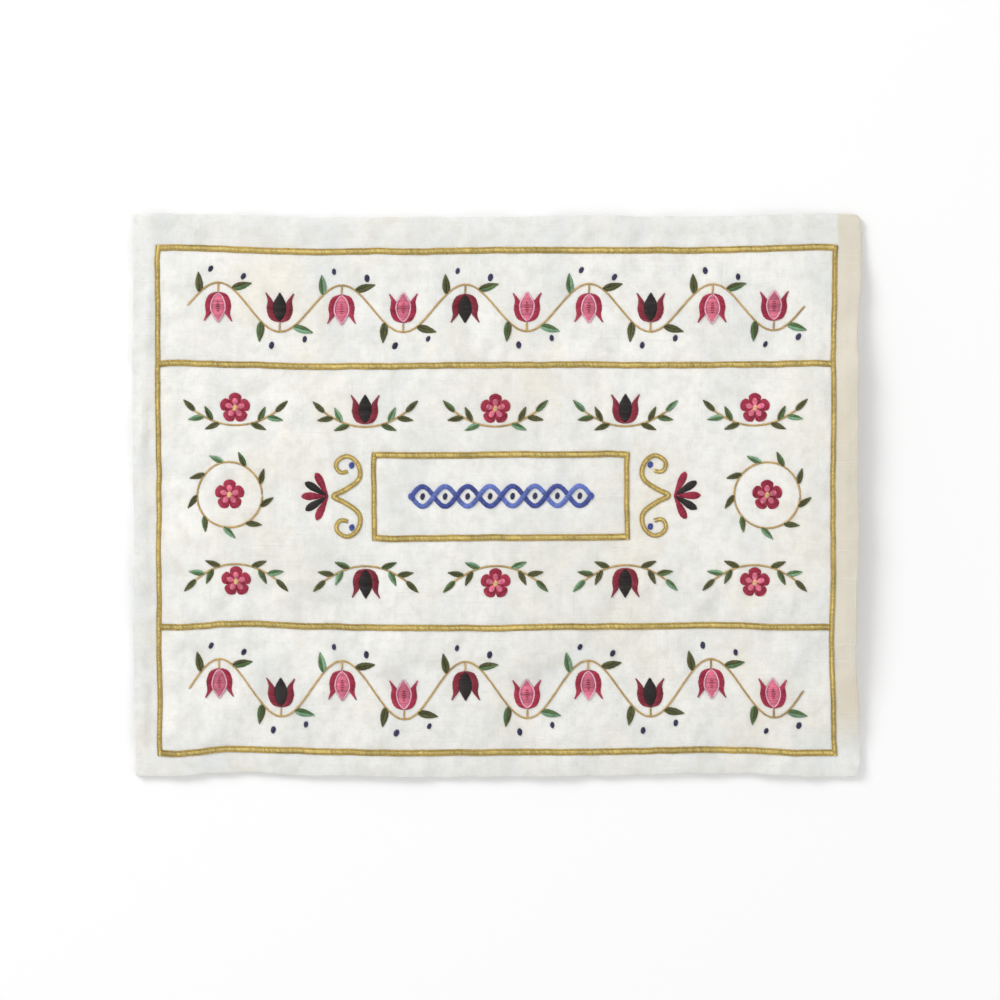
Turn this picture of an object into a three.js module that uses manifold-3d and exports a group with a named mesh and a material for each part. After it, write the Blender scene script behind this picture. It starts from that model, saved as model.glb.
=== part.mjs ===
// An embroidered silk pouch cover, lying on its plain back with its open end to the right.
// Lengths are in millimetres, +Z is up, +X is to the right and +Y is towards the top of the embroidered face.
// The origin is the middle of the underside.
import * as THREE from 'three';
import { mergeVertices } from 'three/addons/utils/BufferGeometryUtils.js';
import Module from 'manifold-3d';

// The pouch: two panels sewn together on three sides
const coverWidth = 320;
const coverHeight = 248;
const clothThickness = 1.2;
const seamGap = 0.3;
const pocketRise = 6;
const slopeWidth = 46;
const edgeRoll = 0.5;
const leftCornerRadius = 1;
const upperRightCornerRadius = 3.6;
const lowerRightCornerRadius = 1.8;
const edgeSway = 2.4;
const foldRise = 0.9;

// The embroidery stands on the front panel as low pads of thread
const padHeight = 0.8;
const padGap = 0.3;
const pieceGap = 0.6;
const stitchStep = 14;

// The gold lines, measured to their middle
const goldLineWidth = 2.6;
const sideMargin = 11.2;
const topMargin = 15.05;
const bottomMargin = 10.7;
const upperBandHeight = 51.2;
const lowerBandHeight = 55.5;
const cartoucheWidth = 111.4;
const cartoucheHeight = 36.3;
const cartoucheX = 2.5;

// The plaited band inside the cartouche
const plaitMargin = 16;
const plaitHeight = 11;
const plaitStrandWidth = 2.2;
const plaitCrossings = 8;
const plaitSteps = 32;

// Flowers and leaves
const tulipWidth = 12.5;
const tulipHeight = 13.5;
const rosetteRadius = 6.6;
const stemWidth = 1.2;
const leafLength = 9;
const leafWidth = 3.4;
const smallLeafLength = 7;
const smallLeafWidth = 2.5;

// The two running vines, one in each outer band
const vineEndMargin = 13;
const vineSideMargin = 15;
const vineHalfWaves = 10;
const vineSteps = 50;
const pedicelLength = 3.6;
const vineLeaves = [
  { along: 0.2, side: 1, lean: 50 },
  { along: 0.72, side: 1, lean: 54 },
];

// The sprays above and below the cartouche
const spraysInRow = 5;
const sprayEndMargin = 6;
const sprayGap = 6;
const spraySag = 7;
const spraySteps = 8;
const sprayLeaves = [
  { along: 0.38, side: -1, lean: 38 },
  { along: 0.56, side: 1, lean: 42 },
  { along: 0.76, side: -1, lean: 40 },
  { along: 0.97, side: 1, lean: 8 },
];

// The wreaths to the left and right of the cartouche
const wreathRadius = 14.5;
const wreathSteps = 18;
const wreathLeaves = 9;
const wreathLeafLean = 55;

// The scrolls and palmettes at the ends of the cartouche
const scrollStandoff = 5;
const scrollWidth = 2;
const scrollTipShare = 0.7;
const scrollHeight = 37;
const scrollDepth = 14;
const scrollSteps = 28;
const petalLength = 11.5;
const petalWidth = 3.6;
const petalAngles = [-64, -32, 0, 32, 64];

// How far the cover's edge lies inside its overall rectangle, as a share of edgeSway.
// The top and bottom run from left to right, the left and right from bottom to top.
const topEdge = [
  { along: 0, inward: 0.1 },
  { along: 0.09, inward: 0.17 },
  { along: 0.27, inward: 0.92 },
  { along: 0.42, inward: 0.75 },
  { along: 0.59, inward: 0.54 },
  { along: 0.78, inward: 0.64 },
  { along: 0.95, inward: 0 },
  { along: 1, inward: 0.1 },
];
const bottomEdge = [
  { along: 0, inward: 0.1 },
  { along: 0.05, inward: 0.1 },
  { along: 0.13, inward: 1 },
  { along: 0.26, inward: 0.3 },
  { along: 0.38, inward: 0 },
  { along: 0.6, inward: 0.3 },
  { along: 0.8, inward: 0.83 },
  { along: 0.95, inward: 0.1 },
  { along: 1, inward: 0.1 },
];
const leftEdge = [
  { along: 0, inward: 0.54 },
  { along: 0.1, inward: 0.46 },
  { along: 0.3, inward: 0.25 },
  { along: 0.5, inward: 0.25 },
  { along: 0.66, inward: 0 },
  { along: 1, inward: 0.15 },
];
const rightEdge = [
  { along: 0, inward: 0.4 },
  { along: 0.04, inward: 0.1 },
  { along: 0.1, inward: 0.38 },
  { along: 0.2, inward: 0.83 },
  { along: 0.6, inward: 0.78 },
  { along: 0.8, inward: 0.46 },
  { along: 0.95, inward: 0 },
  { along: 1, inward: 0.12 },
];

// Soft folds in the front panel. Places are shares of the half width and half height,
// lengths and widths are shares of coverWidth, and heights are shares of foldRise.
const folds = [
  { across: 0.56, up: -0.84, turn: 60, length: 0.2, width: 0.1, height: 1 },
  { across: -0.93, up: -0.35, turn: 90, length: 0.6, width: 0.09, height: -0.5 },
  { across: -0.2, up: -0.72, turn: 84, length: 0.4, width: 0.14, height: 0.8 },
  { across: 0.24, up: -0.66, turn: 97, length: 0.36, width: 0.14, height: -0.7 },
  { across: -0.52, up: 0.3, turn: 12, length: 0.5, width: 0.15, height: 0.7 },
  { across: 0.45, up: 0.52, turn: -14, length: 0.5, width: 0.16, height: -0.8 },
  { across: 0.8, up: -0.1, turn: 80, length: 0.5, width: 0.13, height: 0.8 },
  { across: -0.1, up: 0.88, turn: 4, length: 0.5, width: 0.12, height: -0.6 },
];

// Cells across and up each panel, and how much they crowd towards the edges
const frontCells = { across: 24, up: 20 };
const backCells = { across: 12, up: 10 };
const crowding = 0.6;

// Half outlines from base to tip, as shares of the length and half of the width
const leafHalf = [
  { along: 0, aside: 0 },
  { along: 0.42, aside: 1 },
  { along: 1, aside: 0 },
];
const petalHalf = [
  { along: 0, aside: 0 },
  { along: 0.04, aside: 0.3 },
  { along: 0.64, aside: 1 },
  { along: 0.92, aside: 0.62 },
  { along: 1, aside: 0 },
];
const tulipHalf = [
  { along: 0, aside: 0 },
  { along: 0.1, aside: 0.66 },
  { along: 0.4, aside: 0.94 },
  { along: 0.72, aside: 0.88 },
  { along: 0.96, aside: 1 },
  { along: 0.7, aside: 0.42 },
  { along: 1, aside: 0 },
];

// One petal of a rosette, as shares of a petal's turn and of rosetteRadius
const rosettePetals = 5;
const rosettePetal = [
  { turn: 0, reach: 0.66 },
  { turn: 0.27, reach: 0.98 },
  { turn: 0.73, reach: 0.98 },
];

// One half of a scroll from its middle to its curled tip, as shares of scrollDepth and half of scrollHeight
const scrollPath = [
  { out: 0.98, up: 0 },
  { out: 0.6, up: 0.14 },
  { out: 0.12, up: 0.42 },
  { out: 0.16, up: 0.78 },
  { out: 0.5, up: 0.97 },
  { out: 0.86, up: 0.8 },
  { out: 0.74, up: 0.56 },
  { out: 0.48, up: 0.6 },
];

// Places that follow from the sizes above
const border = {
  left: sideMargin - coverWidth / 2,
  right: coverWidth / 2 - sideMargin,
  top: coverHeight / 2 - topMargin,
  bottom: bottomMargin - coverHeight / 2,
};
const upperDividerY = border.top - upperBandHeight;
const lowerDividerY = border.bottom + lowerBandHeight;
const cartoucheY = (upperDividerY + lowerDividerY) / 2;

const colours = {
  silk: '#efece4',
  gold: '#b8923f',
  crimson: '#b01f48',
  maroon: '#4a1426',
  green: '#4b5a32',
  blue: '#4054a4',
};

const wasm = await Module();
wasm.setup();

function clothMaterial(colour, roughness) {
  return new THREE.MeshStandardMaterial({ color: colour, roughness, metalness: 0 });
}

// A value from a table of rows, eased between the two rows next to it
function readRows(rows, along) {
  const next = Math.max(1, rows.findIndex((row) => row.along >= along));
  const [low, high] = [rows[next - 1], rows[next]];
  const share = THREE.MathUtils.smoothstep(along, low.along, high.along);
  return THREE.MathUtils.lerp(low.inward, high.inward, share);
}

// Takes the corners of the flat rectangle off to arcs, the left ones nearly square
function roundCorner(x, y, halfWidth, halfHeight) {
  const rightRadius = y > 0 ? upperRightCornerRadius : lowerRightCornerRadius;
  const radius = x > 0 ? rightRadius : leftCornerRadius;
  const outX = Math.abs(x) - (halfWidth - radius);
  const outY = Math.abs(y) - (halfHeight - radius);
  if (outX <= 0 || outY <= 0) return { x, y };
  const shrink = Math.max(outX, outY) / Math.hypot(outX, outY);
  return {
    x: Math.sign(x) * (halfWidth - radius + outX * shrink),
    y: Math.sign(y) * (halfHeight - radius + outY * shrink),
  };
}

// Moves a point of the flat cloth to where it lies in plan, between the four swaying edges
function planPoint(flatX, flatY) {
  const { x, y } = roundCorner(flatX, flatY, coverWidth / 2, coverHeight / 2);
  const across = THREE.MathUtils.clamp(x / coverWidth + 0.5, 0, 1);
  const up = THREE.MathUtils.clamp(y / coverHeight + 0.5, 0, 1);
  const inFromLeft = readRows(leftEdge, up) * (1 - across) ** 2;
  const inFromRight = readRows(rightEdge, up) * across ** 2;
  const inFromBottom = readRows(bottomEdge, across) * (1 - up) ** 2;
  const inFromTop = readRows(topEdge, across) * up ** 2;
  return {
    x: x + edgeSway * (inFromLeft - inFromRight),
    y: y + edgeSway * (inFromBottom - inFromTop),
  };
}

function foldHeight(x, y) {
  let height = 0;
  for (const fold of folds) {
    const turn = THREE.MathUtils.degToRad(fold.turn);
    const fromX = x - (fold.across * coverWidth) / 2;
    const fromY = y - (fold.up * coverHeight) / 2;
    const alongFold = fromX * Math.cos(turn) + fromY * Math.sin(turn);
    const acrossFold = fromY * Math.cos(turn) - fromX * Math.sin(turn);
    const farAlong = (2 * alongFold) / (fold.length * coverWidth);
    const farAcross = (2 * acrossFold) / (fold.width * coverWidth);
    height += fold.height * Math.exp(-(farAlong ** 2) - farAcross ** 2);
  }
  return height * foldRise;
}

// Rises from a seam and levels off over slopeWidth
function slope(distance) {
  return Math.sin((Math.PI / 2) * THREE.MathUtils.clamp(distance / slopeWidth, 0, 1));
}

// The upper face of the front panel over a point of the flat cloth.
// The right end is open, so it doesn't come down there.
function frontFace(flatX, flatY) {
  const fromLeft = slope(flatX + coverWidth / 2);
  const fromTop = slope(coverHeight / 2 - flatY);
  const fromBottom = slope(coverHeight / 2 + flatY);
  const lift = fromLeft * fromTop * fromBottom;
  const { x, y } = planPoint(flatX, flatY);
  const sewnHeight = 2 * clothThickness + seamGap;
  return { x, y, z: sewnHeight + lift * (pocketRise + foldHeight(flatX, flatY)) };
}

function moveVertices(geometry, place) {
  const position = geometry.getAttribute('position');
  const from = new THREE.Vector3();
  for (let i = 0; i < position.count; i += 1) {
    from.fromBufferAttribute(position, i);
    const to = place(from, i);
    position.setXYZ(i, to.x, to.y, to.z);
  }
  geometry.computeVertexNormals();
  return geometry;
}

// Crowds evenly spaced grid lines towards both ends of a span
function crowded(place, span) {
  const share = place / span + 0.5;
  return (share - (crowding * Math.sin(2 * Math.PI * share)) / (2 * Math.PI) - 0.5) * span;
}

// A sheet of cloth with a rolled edge. lay gives the point of its upper face over a point of the flat cloth.
function clothPanel(cells, lay) {
  const flatWidth = coverWidth - 2 * edgeRoll;
  const flatHeight = coverHeight - 2 * edgeRoll;
  const sheet = new THREE.BoxGeometry(flatWidth, flatHeight, clothThickness, cells.across, cells.up, 2);
  return moveVertices(sheet, (from) => {
    const onRim = Math.abs(from.z) < clothThickness / 4;
    const roll = onRim ? edgeRoll : 0;
    const flatX = crowded(from.x, flatWidth);
    const flatY = crowded(from.y, flatHeight);
    const face = lay(flatX, flatY);
    const atSide = Math.abs(flatX) > flatWidth / 2 - edgeRoll / 2;
    const atEnd = Math.abs(flatY) > flatHeight / 2 - edgeRoll / 2;
    return {
      x: face.x + (atSide ? Math.sign(flatX) * roll : 0),
      y: face.y + (atEnd ? Math.sign(flatY) * roll : 0),
      z: face.z + from.z - clothThickness / 2,
    };
  });
}

// Lays flat embroidery on the front panel
function drape(flat) {
  return moveVertices(flat, ({ x, y, z }) => {
    const face = frontFace(x, y);
    return { x: face.x, y: face.y, z: face.z + z };
  });
}

// Points along a line with the sideways direction at each, which the ribbons are made from
function stationsAlong(curve, steps) {
  return Array.from({ length: steps + 1 }, (_, i) => {
    const point = curve.getPoint(i / steps);
    const tangent = curve.getTangent(i / steps);
    return { x: point.x, y: point.y, sideX: -tangent.y, sideY: tangent.x };
  });
}

// A flat strip of thread along stations, thinned to tipShare of its width at both ends
function openRibbon(stations, width, tipShare = 1) {
  const steps = stations.length - 1;
  const strip = new THREE.BoxGeometry(steps, width, padHeight, steps, 1, 1);
  return moveVertices(strip, (from) => {
    const at = Math.round(from.x + steps / 2);
    const { x, y, sideX, sideY } = stations[at];
    const offset = from.y * THREE.MathUtils.lerp(1, tipShare, Math.abs((2 * at) / steps - 1));
    return { x: x + sideX * offset, y: y + sideY * offset, z: padGap + padHeight / 2 + from.z };
  });
}

// A flat strip of thread round a closed line of stations
function closedRibbon(stations, width) {
  const ring = new THREE.TorusGeometry(1, 1, 4, stations.length);
  const uv = ring.getAttribute('uv').clone();
  const corners = [
    { out: 0.5, up: 0 },
    { out: 0.5, up: 1 },
    { out: -0.5, up: 1 },
    { out: -0.5, up: 0 },
  ];
  return moveVertices(ring, (from, i) => {
    const { x, y, sideX, sideY } = stations[Math.round(uv.getX(i) * stations.length) % stations.length];
    const { out, up } = corners[Math.round(uv.getY(i) * corners.length) % corners.length];
    return { x: x + sideX * out * width, y: y + sideY * out * width, z: padGap + up * padHeight };
  });
}

// Stations round a rectangle, anticlockwise, with mitred corners
function rectangleStations(centreX, centreY, width, height) {
  const across = Math.round(width / stitchStep);
  const up = Math.round(height / stitchStep);
  const sides = [
    { from: [-1, -1], to: [1, -1], steps: across, side: [0, -1], mitre: [-1, -1] },
    { from: [1, -1], to: [1, 1], steps: up, side: [1, 0], mitre: [1, -1] },
    { from: [1, 1], to: [-1, 1], steps: across, side: [0, 1], mitre: [1, 1] },
    { from: [-1, 1], to: [-1, -1], steps: up, side: [-1, 0], mitre: [-1, 1] },
  ];
  return sides.flatMap(({ from, to, steps, side, mitre }) =>
    Array.from({ length: steps }, (_, i) => {
      const [sideX, sideY] = i === 0 ? mitre : side;
      return {
        x: centreX + (THREE.MathUtils.lerp(from[0], to[0], i / steps) * width) / 2,
        y: centreY + (THREE.MathUtils.lerp(from[1], to[1], i / steps) * height) / 2,
        sideX,
        sideY,
      };
    }),
  );
}

function solidOf(geometry) {
  const bare = geometry.clone();
  bare.deleteAttribute('normal');
  bare.deleteAttribute('uv');
  const merged = mergeVertices(bare, 1e-4);
  const mesh = new wasm.Mesh({
    numProp: 3,
    vertProperties: merged.getAttribute('position').array,
    triVerts: new Uint32Array(merged.index.array),
  });
  return new wasm.Manifold(mesh);
}

// Joins flat pieces that overlap into one
function join(pieces) {
  const joined = pieces.map(solidOf).reduce((sum, piece) => sum.add(piece));
  const { vertProperties, triVerts } = joined.getMesh();
  const geometry = new THREE.BufferGeometry();
  geometry.setAttribute('position', new THREE.BufferAttribute(vertProperties, 3));
  geometry.setIndex(new THREE.BufferAttribute(triVerts, 1));
  return geometry;
}

// A flat pad of thread with that outline, turned by degrees and put at x, y
function pad(outline, x, y, turn) {
  const geometry = new THREE.ExtrudeGeometry(outline, { depth: padHeight, bevelEnabled: false });
  geometry.rotateZ(THREE.MathUtils.degToRad(turn));
  return geometry.translate(x, y, padGap);
}

// An outline that points along +X from its base, from the rows of one half of it
function mirroredOutline(half, length, width) {
  const side = (rows, way) => rows.map(
    ({ along, aside }) => new THREE.Vector2(along * length, (way * aside * width) / 2),
  );
  return new THREE.Shape([...side(half, 1), ...side(half.slice(1, -1), -1).reverse()]);
}

// A flower of round petals about its middle
function rosetteOutline() {
  const points = [];
  for (let petal = 0; petal < rosettePetals; petal += 1) {
    for (const { turn, reach } of rosettePetal) {
      const angle = ((petal + 0.5 + turn) / rosettePetals) * 2 * Math.PI + Math.PI / 2;
      points.push(new THREE.Vector2(Math.cos(angle), Math.sin(angle)).multiplyScalar(reach * rosetteRadius));
    }
  }
  return new THREE.Shape(points);
}

// A leaf that leaves a line of stations at a share of its length, turned by degrees from its direction
function leafOn(stations, along, turn, length, width) {
  const at = along * (stations.length - 1);
  const before = stations[Math.floor(at)];
  const after = stations[Math.ceil(at)];
  const share = at - Math.floor(at);
  const x = THREE.MathUtils.lerp(before.x, after.x, share);
  const y = THREE.MathUtils.lerp(before.y, after.y, share);
  const heading = THREE.MathUtils.radToDeg(Math.atan2(-before.sideX, before.sideY));
  return pad(mirroredOutline(leafHalf, length, width), x, y, heading + turn);
}

class WaveLine extends THREE.Curve {
  constructor(startX, length, centreY, sway, halfWaves) {
    super();
    Object.assign(this, { startX, length, centreY, sway, halfWaves });
  }

  getPoint(share) {
    const height = this.sway * Math.sin(Math.PI * this.halfWaves * share);
    return new THREE.Vector3(this.startX + this.length * share, this.centreY + height, 0);
  }
}

const cover = new THREE.Group();

function add(name, geometry, colour, roughness = 0.6) {
  const mesh = new THREE.Mesh(geometry, clothMaterial(colour, roughness));
  mesh.name = name;
  cover.add(mesh);
}

function addPanels() {
  add('front_panel', clothPanel(frontCells, frontFace), colours.silk, 0.8);
  const flatBack = (flatX, flatY) => ({ ...planPoint(flatX, flatY), z: clothThickness });
  add('back_panel', clothPanel(backCells, flatBack), colours.silk, 0.8);
}

// A straight line of gold between the two sides of the border, a little clear of both
function dividerStations(y) {
  const clear = goldLineWidth / 2 + pieceGap;
  const from = new THREE.Vector3(border.left + clear, y, 0);
  const to = new THREE.Vector3(border.right - clear, y, 0);
  return stationsAlong(new THREE.LineCurve3(from, to), Math.round((to.x - from.x) / stitchStep));
}

function addGoldLines() {
  const centreX = (border.left + border.right) / 2;
  const centreY = (border.bottom + border.top) / 2;
  const round = rectangleStations(centreX, centreY, border.right - border.left, border.top - border.bottom);
  add('outer_border', drape(closedRibbon(round, goldLineWidth)), colours.gold);
  add('upper_divider', drape(openRibbon(dividerStations(upperDividerY), goldLineWidth)), colours.gold);
  add('lower_divider', drape(openRibbon(dividerStations(lowerDividerY), goldLineWidth)), colours.gold);
  const frame = rectangleStations(cartoucheX, cartoucheY, cartoucheWidth, cartoucheHeight);
  add('cartouche_border', drape(closedRibbon(frame, goldLineWidth)), colours.gold);
}

// Two strands that cross each other along the middle of the cartouche
function addPlait() {
  const sway = (plaitHeight - plaitStrandWidth) / 2;
  const length = cartoucheWidth - 2 * plaitMargin;
  const strands = [1, -1].map((way) => {
    const line = new WaveLine(cartoucheX - length / 2, length, cartoucheY, way * sway, plaitCrossings);
    return openRibbon(stationsAlong(line, plaitSteps), plaitStrandWidth);
  });
  add('cartouche_plait', drape(join(strands)), colours.blue);
}

// A tulip that opens upwards from its base, or downwards. way is 1 or -1.
function tulip(x, y, way) {
  return drape(pad(mirroredOutline(tulipHalf, tulipHeight, tulipWidth), x, y, way * 90));
}

function rosette(x, y) {
  return drape(pad(rosetteOutline(), x, y, 0));
}

// A wave of stem with leaves, and a tulip in the hollow of each half wave
function addVine(name, bottomY, topY) {
  const centreY = (bottomY + topY) / 2;
  const sway = (topY - bottomY) / 2 - vineSideMargin;
  const startX = border.left + vineEndMargin;
  const length = border.right - vineEndMargin - startX;
  const stations = stationsAlong(new WaveLine(startX, length, centreY, sway, vineHalfWaves), vineSteps);
  const pieces = [openRibbon(stations, stemWidth)];
  for (let half = 0; half < vineHalfWaves; half += 1) {
    const way = half % 2 === 0 ? 1 : -1;
    for (const { along, side, lean } of vineLeaves) {
      const turn = side * way * lean;
      pieces.push(leafOn(stations, (half + along) / vineHalfWaves, turn, leafLength, leafWidth));
    }
    const x = startX + ((half + 0.5) / vineHalfWaves) * length;
    const crest = centreY + way * sway;
    const foot = crest - way * pedicelLength;
    const pedicel = new THREE.LineCurve3(new THREE.Vector3(x, crest, 0), new THREE.Vector3(x, foot, 0));
    pieces.push(openRibbon(stationsAlong(pedicel, 1), stemWidth));
    add(`${name}_tulip_${half + 1}`, tulip(x, foot - way * pieceGap, -way), colours.crimson);
  }
  add(`${name}_stem`, drape(join(pieces)), colours.green);
}

// A bowed twig with leaves on both halves. way is 1 where it sags and -1 where it arches.
function sprayTwig(x, middleY, length, way) {
  const tipY = middleY + way * spraySag;
  const line = new THREE.QuadraticBezierCurve3(
    new THREE.Vector3(x - length / 2, tipY, 0),
    new THREE.Vector3(x, middleY - way * spraySag, 0),
    new THREE.Vector3(x + length / 2, tipY, 0),
  );
  const stations = stationsAlong(line, spraySteps);
  const leaves = [1, -1].flatMap((hand) =>
    sprayLeaves.map(({ along, side, lean }) => {
      const outwards = hand > 0 ? 0 : 180;
      const turn = outwards + side * hand * way * lean;
      return leafOn(stations, 0.5 + (hand * along) / 2, turn, smallLeafLength, smallLeafWidth);
    }),
  );
  return join([openRibbon(stations, stemWidth), ...leaves]);
}

// A row of sprays halfway between the cartouche and a divider
function addSprays(name, dividerY, way) {
  const cartoucheEdge = cartoucheY + (way * cartoucheHeight) / 2;
  const clear = stemWidth / 2 + pieceGap;
  const middleY = (cartoucheEdge + dividerY) / 2 - (way * (clear + tulipHeight)) / 2;
  const pitch = (border.right - border.left - 2 * sprayEndMargin) / spraysInRow;
  const twigLength = pitch - sprayGap - 2 * smallLeafLength;
  for (let place = 0; place < spraysInRow; place += 1) {
    const x = (place - (spraysInRow - 1) / 2) * pitch;
    const isRosette = place % 2 === 0;
    const flower = isRosette
      ? rosette(x, middleY + way * (clear + rosetteRadius))
      : tulip(x, middleY + way * clear, way);
    add(`${name}_twig_${place + 1}`, drape(sprayTwig(x, middleY, twigLength, way)), colours.green);
    add(`${name}_flower_${place + 1}`, flower, isRosette ? colours.crimson : colours.maroon);
  }
}

// How far the embroidery at the ends of the cartouche reaches from its middle
const palmetteBase = cartoucheWidth / 2 + scrollStandoff + scrollDepth + scrollWidth / 2 + pieceGap;
const palmetteReach = palmetteBase + petalLength;

// A ring of stem with leaves lying outwards round it, and a rosette in the middle,
// halfway between the palmette and the border. hand is -1 at the left and 1 at the right.
function addWreath(name, hand) {
  const borderX = hand > 0 ? border.right : border.left;
  const x = (cartoucheX + hand * palmetteReach + borderX) / 2;
  const stations = Array.from({ length: wreathSteps }, (_, i) => {
    const angle = (i / wreathSteps) * 2 * Math.PI;
    const [sideX, sideY] = [Math.cos(angle), Math.sin(angle)];
    return { x: x + sideX * wreathRadius, y: cartoucheY + sideY * wreathRadius, sideX, sideY };
  });
  const leaves = Array.from({ length: wreathLeaves }, (_, leaf) => {
    const angle = ((leaf + 0.5) / wreathLeaves) * 2 * Math.PI;
    const [atX, atY] = [x + Math.cos(angle) * wreathRadius, cartoucheY + Math.sin(angle) * wreathRadius];
    const turn = THREE.MathUtils.radToDeg(angle) + wreathLeafLean;
    return pad(mirroredOutline(leafHalf, smallLeafLength, smallLeafWidth), atX, atY, turn);
  });
  add(`${name}_wreath`, drape(join([closedRibbon(stations, stemWidth), ...leaves])), colours.green);
  add(`${name}_wreath_flower`, rosette(x, cartoucheY), colours.crimson);
}

// A scroll that curls outwards above and below the middle line, with a fan of petals beyond it
function addScroll(name, hand) {
  const innerX = cartoucheX + hand * (cartoucheWidth / 2 + scrollStandoff);
  const half = (way) => scrollPath.map(({ out, up }) => {
    const x = innerX + hand * out * scrollDepth;
    const y = cartoucheY + (way * up * scrollHeight) / 2;
    return new THREE.Vector3(x, y, 0);
  });
  const line = new THREE.CatmullRomCurve3([...half(-1).reverse(), ...half(1).slice(1)]);
  const ribbon = openRibbon(stationsAlong(line, scrollSteps), scrollWidth, scrollTipShare);
  add(`${name}_scroll`, drape(ribbon), colours.gold);
  const fanX = cartoucheX + hand * palmetteBase;
  const outwards = hand > 0 ? 0 : 180;
  const petals = petalAngles.map((angle) =>
    pad(mirroredOutline(petalHalf, petalLength, petalWidth), fanX, cartoucheY, outwards + angle),
  );
  add(`${name}_palmette`, drape(join(petals)), colours.crimson);
}

addPanels();
addGoldLines();
addPlait();
addScroll('left', -1);
addScroll('right', 1);
addVine('upper_vine', upperDividerY, border.top);
addVine('lower_vine', border.bottom, lowerDividerY);
addSprays('upper', upperDividerY, 1);
addSprays('lower', lowerDividerY, -1);
addWreath('left', -1);
addWreath('right', 1);

export default cover;
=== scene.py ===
"""The looks of an embroidered silk pouch cover, laid out as an add-on and run as a script.

The cover lies on its plain back and opens at its right end. Lengths are in metres.
The embroidery is drawn on the flat cloth, as columns of satin stitches between two rails,
and every stitch is then laid on the panel as the cloth really lies.
"""

import math
from collections import namedtuple

import bpy
import numpy as np
from bpy.props import FloatProperty, FloatVectorProperty, IntProperty, PointerProperty
from bpy.types import Operator, Panel, PropertyGroup
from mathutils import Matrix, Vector
from mathutils.bvhtree import BVHTree


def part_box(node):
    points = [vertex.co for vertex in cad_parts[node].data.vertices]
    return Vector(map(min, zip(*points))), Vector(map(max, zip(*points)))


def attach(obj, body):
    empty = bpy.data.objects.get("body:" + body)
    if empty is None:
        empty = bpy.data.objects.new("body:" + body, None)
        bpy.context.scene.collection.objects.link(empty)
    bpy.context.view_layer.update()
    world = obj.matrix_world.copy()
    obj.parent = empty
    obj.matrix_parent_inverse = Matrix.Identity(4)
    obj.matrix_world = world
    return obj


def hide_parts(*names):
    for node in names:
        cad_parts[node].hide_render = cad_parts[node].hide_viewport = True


bl_info = {
    "name": "Embroidered silk cover",
    "version": (1, 0, 0),
    "blender": (4, 5, 0),
    "location": "3D view > Sidebar > Silk cover",
    "description": "Lays an embroidered silk pouch cover over its packed solids",
    "category": "Add Mesh",
}

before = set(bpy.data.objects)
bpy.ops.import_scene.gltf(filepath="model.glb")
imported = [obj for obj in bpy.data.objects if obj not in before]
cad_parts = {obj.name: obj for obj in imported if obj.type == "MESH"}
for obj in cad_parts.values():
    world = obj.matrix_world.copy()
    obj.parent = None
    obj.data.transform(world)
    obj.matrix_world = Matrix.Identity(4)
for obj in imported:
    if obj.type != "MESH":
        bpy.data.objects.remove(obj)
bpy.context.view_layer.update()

MM = 0.001
DEGREE = math.pi / 180
FACE = "embroidered_face"
BACK = "plain_back"


def length(name, description, millimetres):
    """A property that holds a length, given in millimetres."""
    return FloatProperty(
        name=name, description=description, default=millimetres * MM, min=0, unit="LENGTH", precision=4
    )


def share(name, description, default):
    """A property that holds a part of something else."""
    return FloatProperty(name=name, description=description, default=default, min=0, subtype="FACTOR")


def linear(red, green, blue):
    """Linear light from the 0 to 255 values of a screen colour."""
    values = [part / 255 for part in (red, green, blue)]
    return tuple(part / 12.92 if part <= 0.04045 else ((part + 0.055) / 1.055) ** 2.4 for part in values)


def dye(name, description, red, green, blue):
    """A property that holds a colour, given as a screen shows it."""
    return FloatVectorProperty(
        name=name, description=description, default=linear(red, green, blue), subtype="COLOR", min=0, max=1
    )


class SilkSettings(PropertyGroup):
    """The cloth of both panels."""

    thickness: length("Cloth thickness", "Thickness of a panel with its backing", 1.2)
    left_corner: length("Left corners", "Radius of the panels' left corners", 1)
    upper_right_corner: length("Upper right corner", "Radius of the panels' upper right corner", 3.6)
    lower_right_corner: length("Lower right corner", "Radius of the panels' lower right corner", 1.8)
    face_cell: length("Face cell", "Spacing of the points on the embroidered panel", 1.5)
    back_cell: length("Back cell", "Spacing of the points on the plain panel", 3)
    drape_cell: length("Drape cell", "Spacing of the points in the cloth simulation", 3.2)
    spare_cloth: share("Spare cloth", "How much longer the silk is than its seams allow", 0.022)
    thread_pull: share("Thread pull", "How much the stitches shorten the silk under them", 0.008)
    wrinkle_limit: length("Wrinkle limit", "The furthest that the simulation moves a point", 2)
    pucker: length("Pucker", "How deep the stitches sit in the silk", 0.3)
    edge_wander: length("Edge wander", "How far the sewn edge strays from its line", 0.25)
    crumple: length("Crumple", "Height of the small creases all over the silk", 0.22)
    allowance: length("Seam allowance", "Width of the turned-in cloth behind the edges", 8)
    allowance_step: length("Allowance step", "How far that cloth lifts the silk", 0.18)
    seed: IntProperty(name="Seed", description="Seed of the cloth's small irregularities", default=7)
    face_clouds: share("Face clouds", "How strongly the embroidered silk is clouded", 1)
    back_clouds: share("Back clouds", "How strongly the plain silk is clouded", 0.45)
    silk: dye("Silk", "Colour of the silk", 244, 243, 238)
    grey_silk: dye("Grey silk", "Colour of the silk's cooler patches", 221, 225, 224)
    cream_silk: dye("Cream silk", "Colour of the silk's warmer patches", 237, 229, 212)
    # Painted shade: the silk outside the border is greyed as if shaded where the cover slopes down to its
    # edges
    margin_silk: dye("Margin silk", "Colour of the silk outside the border", 231, 232, 230)
    # The hem's own warm colour, darkened as painted shade where the open end curves down
    hem_silk: dye("Hem silk", "Colour of the hem at the open end", 218, 207, 184)


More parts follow.
